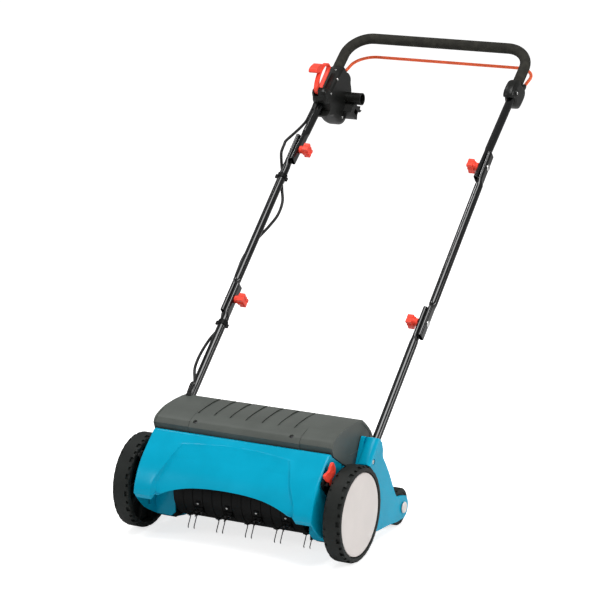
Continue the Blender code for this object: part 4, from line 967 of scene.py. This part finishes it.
# Fold bolts and knobs
# A zinc plated bolt goes through both tubes from the outside. Its red knob is one moulding, with a
# fluted body and a wing across its face, and clamps the fold from the inside.
for name, seat, span_body in (
        ("lower", LOWER_SEAT, "deck"), ("upper", UPPER_SEAT, "middle_handle")):
    for side, s in SIDES:
        bolt = turned(mm((204.2, 0), (204.2, 2.2), (205, 3), (242.4, 3), (242.4, 7.3), (242.8, 7.5),
            (243.4, 7.3), (244.4, 6), (245, 4), (245.2, 0)), 36, closed=False, way=s)
        fitted(bolt, f"{name}_fold_bolt_{side}", span_body, bright_steel, f"{name}_bolt_{side}",
            seat=seat)
        knob = turned(mm((200, 0), (200, 11.8), (211.2, 11.8), (212.8, 10), (213.6, 8.8),
            (220.6, 8.8), (220.6, 0)), 60, closed=False, way=s)
        grip_block = box(s * 0.196, s * 0.21, -0.0135, 0.0135, -0.01, 0.01)
        for way in (-1, 1):
            cut(grip_block, rod(0.003, s * 0.195, s * 0.211, 0.0045, way * 0.0115, 24),
                rod(0.003, s * 0.195, s * 0.211, -0.0045, way * 0.0115, 24),
                rod(0.0042, s * 0.195, s * 0.211, way * 0.0165, 0.0, 24))
        dent = rounded(box(s * 0.195, s * 0.1974, -0.0085, 0.0085, -0.0022, 0.0022), 0.0008)
        cut(grip_block, dent)
        joined(knob, rounded(grip_block, 0.0014, 50.0, 3))
        cut(knob, rod(BOLT_HOLE_R, s * 0.2, s * 0.23))
        rounded(knob, 0.0007, 45.0, 2)
        fitted(knob, f"{name}_grip_knob_{side}", f"{name}_knob_{side}", red_moulding,
            f"{name}_knob_{side}", seat=seat)


# Mains lead
# A black rubber lead of 6.6 mm from the switch to the motor. It is clipped to the left tubes with
# slack at both folds. It is in the lower tubes' frame.
LEAD_R = 0.0033
LEAD_TURN = 0.045               # from a fold to each end of a stretch of the lead round it
lead_rubber = rubber("lead_rubber", "cable_rubber", paint(14, 14, 14), 0.48, 60.0, "Z")


def from_upper(x, behind, along):
    """A point of the bow's frame, in the frame of the tubes below it."""
    return tuple(AT_LOWER_FOLD.inverted() @ AT_UPPER_FOLD @ Vector((x, behind, along)))


def from_deck(x, y, z):
    """A point of the deck, in the lower tubes' frame."""
    return tuple(AT_LOWER_FOLD.inverted() @ Vector((x, y, z)))


CLIP_POINT = (-0.24, 0.0142, 0.342)
lower_route = [
    from_deck(-0.195, 0.11, 0.2628), from_deck(-0.196, 0.118, 0.276),
    from_deck(-0.202, 0.138, 0.28), (-0.216, -0.0275, -0.238), (-0.229, -0.0275, -0.205),
    (-0.237, -0.0175, -0.165), (-0.2405, -0.002, -0.115), (-0.2375, 0.0125, -0.072),
    (-0.2375, 0.0125, -0.06), (-0.2455, 0.016, -0.035), (-0.25, 0.017, -0.01),
    (-0.25, 0.017, 0.0), (-0.25, 0.017, 0.01), (-0.251, 0.015, 0.04),
    (-0.252, 0.011, 0.085), (-0.251, 0.01, 0.125), (-0.24, 0.0142, 0.175),
    (-0.229, 0.02, 0.215), (-0.224, 0.028, 0.255), (-0.225, 0.026, 0.29),
    (-0.233, 0.018, 0.316), (-0.24, 0.0142, 0.336), CLIP_POINT]
upper_route = [
    from_upper(-0.24, 0.0, 0.1345), from_upper(-0.24, 0.0, 0.11),
    from_upper(-0.2402, -0.001, 0.085), from_upper(-0.243, -0.008, 0.056),
    from_upper(-0.249, -0.015, 0.027), (-0.254, -0.019, 0.429), (-0.254, -0.019, 0.419),
    (-0.254, -0.019, 0.409), (-0.2545, -0.014, 0.395), (-0.249, 0.006, 0.368),
    (-0.24, 0.0142, 0.349), CLIP_POINT]
for name, route, bodies, fold, cables in (
        ("lead_below", lower_route, ("deck", "middle_handle"), 0.0,
            ("lower_cable", "middle_cable")),
        ("lead_above", upper_route, ("upper_handle", "middle_handle"), FOLD_SPAN,
            ("upper_cable",))):
    line = flowing(route, 6)
    fitted(wire(line, LEAD_R, 14), name, None, lead_rubber, *cables, seat=LOWER_SEAT, smooth=60.0)
    way = 1 if fold == 0.0 else -1
    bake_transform(bpy.data.objects[name], *bodies,
        start=tuple(LOWER_SEAT @ Vector((-TUBE_X, 0, fold - way * LEAD_TURN))),
        end=tuple(LOWER_SEAT @ Vector((-TUBE_X, 0, fold + way * LEAD_TURN))))


def facing(point, way, axis, up):
    """A place at a point, with one axis along a direction."""
    return at(*point) @ Vector(way).to_track_quat(axis, up).to_matrix().to_4x4()


# Where the lead enters the motor cover it has a ribbed and tapered sleeve
entry, leaving = Vector((-0.195, 0.11, 0.2604)), Vector((-0.001, 0.008, 0.0132)).normalized()
sleeve = turned(mm((0, 3.4), (0, 6.6), (3, 6.6), (3.6, 5.8), (6, 5.6), (6.6, 4.8), (7.8, 4.8),
    (8.4, 5.3), (10.2, 5.1), (10.8, 4.4), (11.8, 4.4), (12.4, 4.8), (15, 4.4), (15.6, 3.4)), 32)
put(sleeve, facing(entry, leaving, "X", "Z"))
fitted(sleeve, "lead_sleeve", "deck", lead_rubber, smooth=40.0)


# Lead clips
# Two black moulded clips snap round the left tubes, each with a second, smaller loop that holds the
# lead and a thumb tab on its other side.
for name, tube_x, lead_at, z, body in (
        ("lower", TUBE_X, (-0.2375, 0.0125), -0.066, "deck"),
        ("middle", MIDDLE_X, CLIP_POINT[:2], 0.342, "middle_handle")):
    clip = upright(TUBE_R + 0.0022, -tube_x, 0, z - 0.0055, z + 0.0055, 48)
    loop = upright(LEAD_R + 0.0022, *lead_at, z - 0.0055, z + 0.0055, 32)
    tab = rounded(box(-tube_x - 0.0168, -tube_x - 0.0085, -0.002, 0.0022, z - 0.005, z + 0.005),
        0.001)
    brace = rounded(box(-tube_x - 0.004, -tube_x + 0.0105, 0.0085, 0.0115, z - 0.005, z + 0.005),
        0.001)
    joined(clip, loop, tab, brace)
    cut(clip, upright(TUBE_R + CLEARANCE, -tube_x, 0, z - 0.02, z + 0.02, 48),
        upright(LEAD_R + 0.0004, *lead_at, z - 0.02, z + 0.02, 32))
    rounded(clip, 0.0006)
    fitted(clip, f"{name}_lead_clip", body, black_moulding, f"{name}_cable_clip", seat=LOWER_SEAT)


# Switch housing
# Two black mouldings are screwed together round the left leg of the bow. They swell behind the tube
# to hold the switch, and the inner one carries the mains inlet and the hook for the lead.
HOUSING = mm((-12, 254), (10, 255), (15, 262), (30, 264), (39, 254), (59, 244), (78.5, 225),
    (92.2, 195), (94.5, 176), (86, 160), (70, 150), (48, 144), (33, 140), (24, 129))
HOUSING_FOOT = {"inner": mm((17, 118), (10, 116), (9, 135), (-6, 144)),
    "outer": [(0.014, 0.118), (-0.01, 0.118)]}
HOUSING_FRONT = mm((-13, 134), (-24, 135), (-32, 141), (-43, 144), (-44, 155), (-31, 164),
    (-24.5, 170), (-24, 225), (-20, 243))
HOUSING_OUTER, HOUSING_INNER, SPLIT_GAP = -0.241, -0.2, 0.00015
CAVITY = mm((16, 150), (36, 148.5), (48, 150), (69, 156), (82, 164.5), (89.3, 177.5), (87, 194),
    (74.5, 220), (68, 229), (16, 231))
INLET = (0.053, 0.216)
INLET_R, INLET_BORE, INLET_END = 0.0145, 0.0122, -0.1615
BAIL_PIVOT, LOCK_PIVOT, PIN_R = (0.025, 0.251), (-0.038, 0.15), 0.002
satin_black = moulded("satin_black_moulding", "black_plastic", paint(14, 15, 13), 0.36, 1000.0,
    0.00004, 0.16, [(GLOSS, 0.28)])


def pillow(outline, split, face, middle, power=3.4, steps=10):
    """Half a shell: full size at its split, and drawn in smoothly to a rounded face."""
    shares = [math.sin(math.pi / 2 * step / steps) for step in range(steps + 1)]
    target = side_block(outline, *[split + (face - split) * share for share in shares])
    for corner in target.data.vertices:
        x, y, z = corner.co
        share = min(max((x - split) / (face - split), 0.0), 1.0)
        size = (1 - (0.975 * share) ** power) ** (1 / power)
        cy, cz = middle(y, z)
        corner.co = (x, cy + (y - cy) * size, cz + (z - cz) * size)
    return target


def held(value, low, high):
    return min(max(value, low), high)


def grip_cuts(x):
    """What both halves of a housing leave out for the tube, the foam and the bail's arm."""
    return (upright(TUBE_R + CLEARANCE, x, 0, 0.05, 0.32),
        upright(FOAM_R + 0.0004, x, 0, FOAM_START - 0.0008, 0.32),
        box(x - 0.0058, x + 0.0058, 0.0135, 0.1, 0.234, 0.32))


def housing_middle(y, z):
    return (held(y, 0.0, 0.046), held(z, 0.15, 0.236))


outer, inner = (
    pillow(flowing(HOUSING, 3) + HOUSING_FOOT[name] + flowing(HOUSING_FRONT, 2),
        way * SPLIT_GAP - TUBE_X, face, housing_middle, power)
    for name, way, face, power in (
        ("outer", -1, HOUSING_OUTER, 3.0), ("inner", 1, HOUSING_INNER, 5.5)))
collar = turned([(-0.204, 0.0), (-0.204, INLET_R - 0.0004), (INLET_END - 0.005, INLET_R - 0.0004),
    (INLET_END - 0.0044, INLET_R), (INLET_END, INLET_R), (INLET_END, 0.0)], 64, closed=False)
joined(inner, put(collar, at(0, *INLET)))
hook = side_block(mm((56, 206), (69, 211), (85, 216), (86.2, 223.6), (90, 216), (99.8, 222.2),
    (96, 212), (88.5, 206), (90, 198), (98.5, 190.8), (90, 184), (76, 180), (60, 180)), -0.208,
    -0.178)
joined(inner, rounded(hook, 0.0008))
for half, face in ((outer, HOUSING_OUTER + 0.0024), (inner, HOUSING_INNER - 0.003)):
    cut(half, *grip_cuts(-TUBE_X), pillow(CAVITY, -TUBE_X, face, housing_middle),
        box(-TUBE_X - 0.0056, -TUBE_X + 0.0056, -0.06, -0.0205, 0.14, 0.242))
cut(inner, rod(INLET_BORE, -0.196, INLET_END + 0.01, *INLET, 64),
    side_block(mm((70, 200), (82, 204), (86, 198), (82, 190), (70, 189)), -0.196, -0.177))
for pivot in (BAIL_PIVOT, LOCK_PIVOT):
    cut(inner, rod(PIN_R + CLEARANCE, -0.23, -0.212, *pivot, 24))
    joined(outer, rod(PIN_R, -0.237, -0.213, *pivot, 24))
cut(outer, box(-0.244, -0.22, -0.0042, 0.0042, 0.105, 0.135))
for half, name in ((outer, "outer"), (inner, "inner")):
    rounded(half, 0.0008, 40.0, 2)
    fitted(half, f"switch_shell_{name}", "upper_handle", satin_black, f"switch_housing_{name}",
        seat=UPPER_SEAT, smooth=36.0)
painted(bright_steel, "inlet_contacts")
contact = rounded(box(-0.2374, -0.23, 0.035, 0.065, 0.2, 0.219), 0.0006)
joined(contact, rod(0.0016, -0.234, -0.2296, 0.04, 0.205, 20),
    rod(0.0016, -0.234, -0.2296, 0.06, 0.205, 20), box(-0.235, -0.2322, 0.047, 0.05, 0.218, 0.2204))
fitted(contact, "switch_contact", "upper_handle", black_moulding, "microswitch", seat=UPPER_SEAT)


# Safety lock
# A red moulded loop on a pin in front of the housing, with a thumb tab that points forward. It has
# to be pushed before the bail can be pulled.
loop_outer = mm((-28.5, 147), (-43, 145.5), (-54.5, 158), (-61.2, 176), (-62.6, 195), (-59, 215),
    (-50, 226), (-35, 229), (-32, 214))
loop_inner = mm((-32, 165), (-40, 160), (-50, 165.5), (-57, 179), (-59.2, 195), (-56, 212),
    (-48.8, 222.2), (-39, 224), (-35.4, 210))
lock = side_block(flowing(loop_outer[:-1], 4) + [loop_outer[-1]], -TUBE_X - 0.0048,
    -TUBE_X + 0.0048)
tab = side_block(flowing(mm((-60, 212), (-62.2, 186), (-77, 169), (-83, 179), (-75, 200)), 4),
    -TUBE_X - 0.017, -TUBE_X + 0.003)
joined(lock, rounded(tab, 0.0016, 40.0, 3))
cut(lock, side_block(flowing(loop_inner, 4), -TUBE_X - 0.01, -TUBE_X + 0.01),
    rod(PIN_R + CLEARANCE, -0.25, -0.2, *LOCK_PIVOT, 24))
rounded(lock, 0.0009, 45.0, 2)
fitted(lock, "lock_button", "safety_lock", red_moulding, "safety_lock", seat=UPPER_SEAT,
    smooth=40.0)


# Bail clamp
# Two black mouldings round the right leg of the bow hold the bail's other end. A round boss on the
# outer one takes the screw that draws them together.
CLAMP = mm((-13, 254), (11, 255), (18, 263), (32, 263), (40, 252), (41, 230), (37, 212), (22, 202),
    (8, 199), (-5, 205), (-16, 197), (-24, 203), (-28, 220), (-24, 242))
CLAMP_SCREW = (-0.0095, 0.218)


def clamp_middle(y, z):
    return (held(y, -0.004, 0.018), held(z, 0.215, 0.24))


for name, way, thick in (("inner", -1, 0.0155), ("outer", 1, 0.013)):
    half = pillow(flowing(CLAMP + CLAMP[:1], 3)[:-1], TUBE_X + way * SPLIT_GAP,
        TUBE_X + way * thick, clamp_middle, 3.2)
    if way > 0:
        boss = turned(mm((233, 0), (233, 11.2), (238, 11.2), (238, 9.8), (239.8, 9.6), (239.8, 8.2),
            (241.2, 7.8), (241.8, 6.6), (241.8, 0)), 40, closed=False)
        joined(half, put(boss, at(0, *CLAMP_SCREW)))
        cut(half, rod(0.005, 0.24, 0.25, *CLAMP_SCREW, 32))
    cut(half, *grip_cuts(TUBE_X))
    if way > 0:
        joined(half, rod(PIN_R, 0.218, 0.235, *BAIL_PIVOT, 24))
    else:
        cut(half, rod(PIN_R + CLEARANCE, 0.216, 0.23, *BAIL_PIVOT, 24))
    rounded(half, 0.0008, 40.0, 2)
    fitted(half, f"clamp_shell_{name}", "upper_handle", satin_black, f"clamp_{name}",
        seat=UPPER_SEAT, smooth=36.0)


# Bail
# A steel rod bent to a bow and coated orange red, pushed into a black moulded arm at each end. The
# arms turn on pins in the switch housing and in the clamp.
BAIL_SEAT = UPPER_SEAT @ at(0, *BAIL_PIVOT) @ at(turn=math.radians(-18.6))
BAIL_REACH, BAIL_CORNER, BAIL_R, BAIL_END = 0.115, 0.05, 0.0037, 0.0333
bail_coat = moulded("bail_powder_coat", "orange_coating", paint(240, 100, 54), 0.3, 300.0, 0.00002,
    0.06, [(GLOSS, 0.35)])
for side, s in SIDES:
    lever_arm = side_block(arc(0.0065, 180.0, 360.0, 16)
        + mm((6, 20), (4.5, 32), (-4.5, 32), (-5, 16)), s * TUBE_X - 0.0048, s * TUBE_X + 0.0048)
    rounded(lever_arm, 0.0014, 50.0, 3)
    joined(lever_arm, rounded(upright(0.005, s * TUBE_X, 0, 0.018, 0.033, 32), 0.001))
    cut(lever_arm, rod(PIN_R + CLEARANCE, s * 0.2, s * 0.25, sides=24))
    fitted(lever_arm, f"bail_socket_{side}", "bail", satin_black, f"bail_arm_{side}",
        seat=BAIL_SEAT)
bar = wire(bow(TUBE_X, BAIL_END, BAIL_REACH, BAIL_CORNER), BAIL_R, 20)
fitted(bar, "bail_rod", "bail", bail_coat, "bail_bar", seat=BAIL_SEAT, smooth=60.0)


# Screws
# Pan head screws with a cross recess, zinc plated. They hold the cover, the shoulders of the side
# arms, the switch housing and the clamp.
def screws(name, body, seat, finish, radius, *places):
    """Screw heads in one object, each at a point and facing a direction."""
    bpy.ops.object.select_all(action="DESELECT")
    bpy.ops.mesh.primitive_uv_sphere_add(segments=28, ring_count=14, radius=radius)
    head = bpy.context.object
    head.scale = (1.0, 1.0, 0.55)
    head = settled()
    for half_x, half_y in ((0.6, 0.11), (0.11, 0.6)):
        cut(head, box(-half_x * radius, half_x * radius, -half_y * radius, half_y * radius,
            0.22 * radius, radius))
    head = spread(head, [facing(point, way, "Z", "Y") for point, way in places])
    return fitted(head, name, body, finish, seat=seat, smooth=40.0)


screws("cover_screws", "deck", DECK, dark_steel, 0.004,
    *[((s * COVER_SCREW[0], COVER_SCREW[1] + 0.0006, COVER_SCREW[2] - 0.0016), (0, -0.5, 0.86))
    for s in (-1, 1)])
screws("shoulder_screws", "deck", DECK, bright_steel, 0.005,
    *[((s * 0.2452, *SHOULDER_SCREW), (s, 0, 0)) for s in (-1, 1)])
screws("housing_screws", "upper_handle", UPPER_SEAT, bright_steel, 0.003,
    ((-0.2008, -0.0195, 0.207), (1, -0.5, 0)), ((-0.2006, -0.019, 0.162), (1, -0.5, 0)),
    ((-0.215, -0.0216, 0.233), (0.3, -1, 0.1)), ((-0.2004, 0.07, 0.17), (1, 0, 0)))
screws("clamp_screw", "upper_handle", UPPER_SEAT, bright_steel, 0.004,
    ((0.2404, *CLAMP_SCREW), (1, 0, 0)))

size = {"cad": [list(corner) for corner in cad_box],
    "visual": [list(corner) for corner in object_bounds()]}
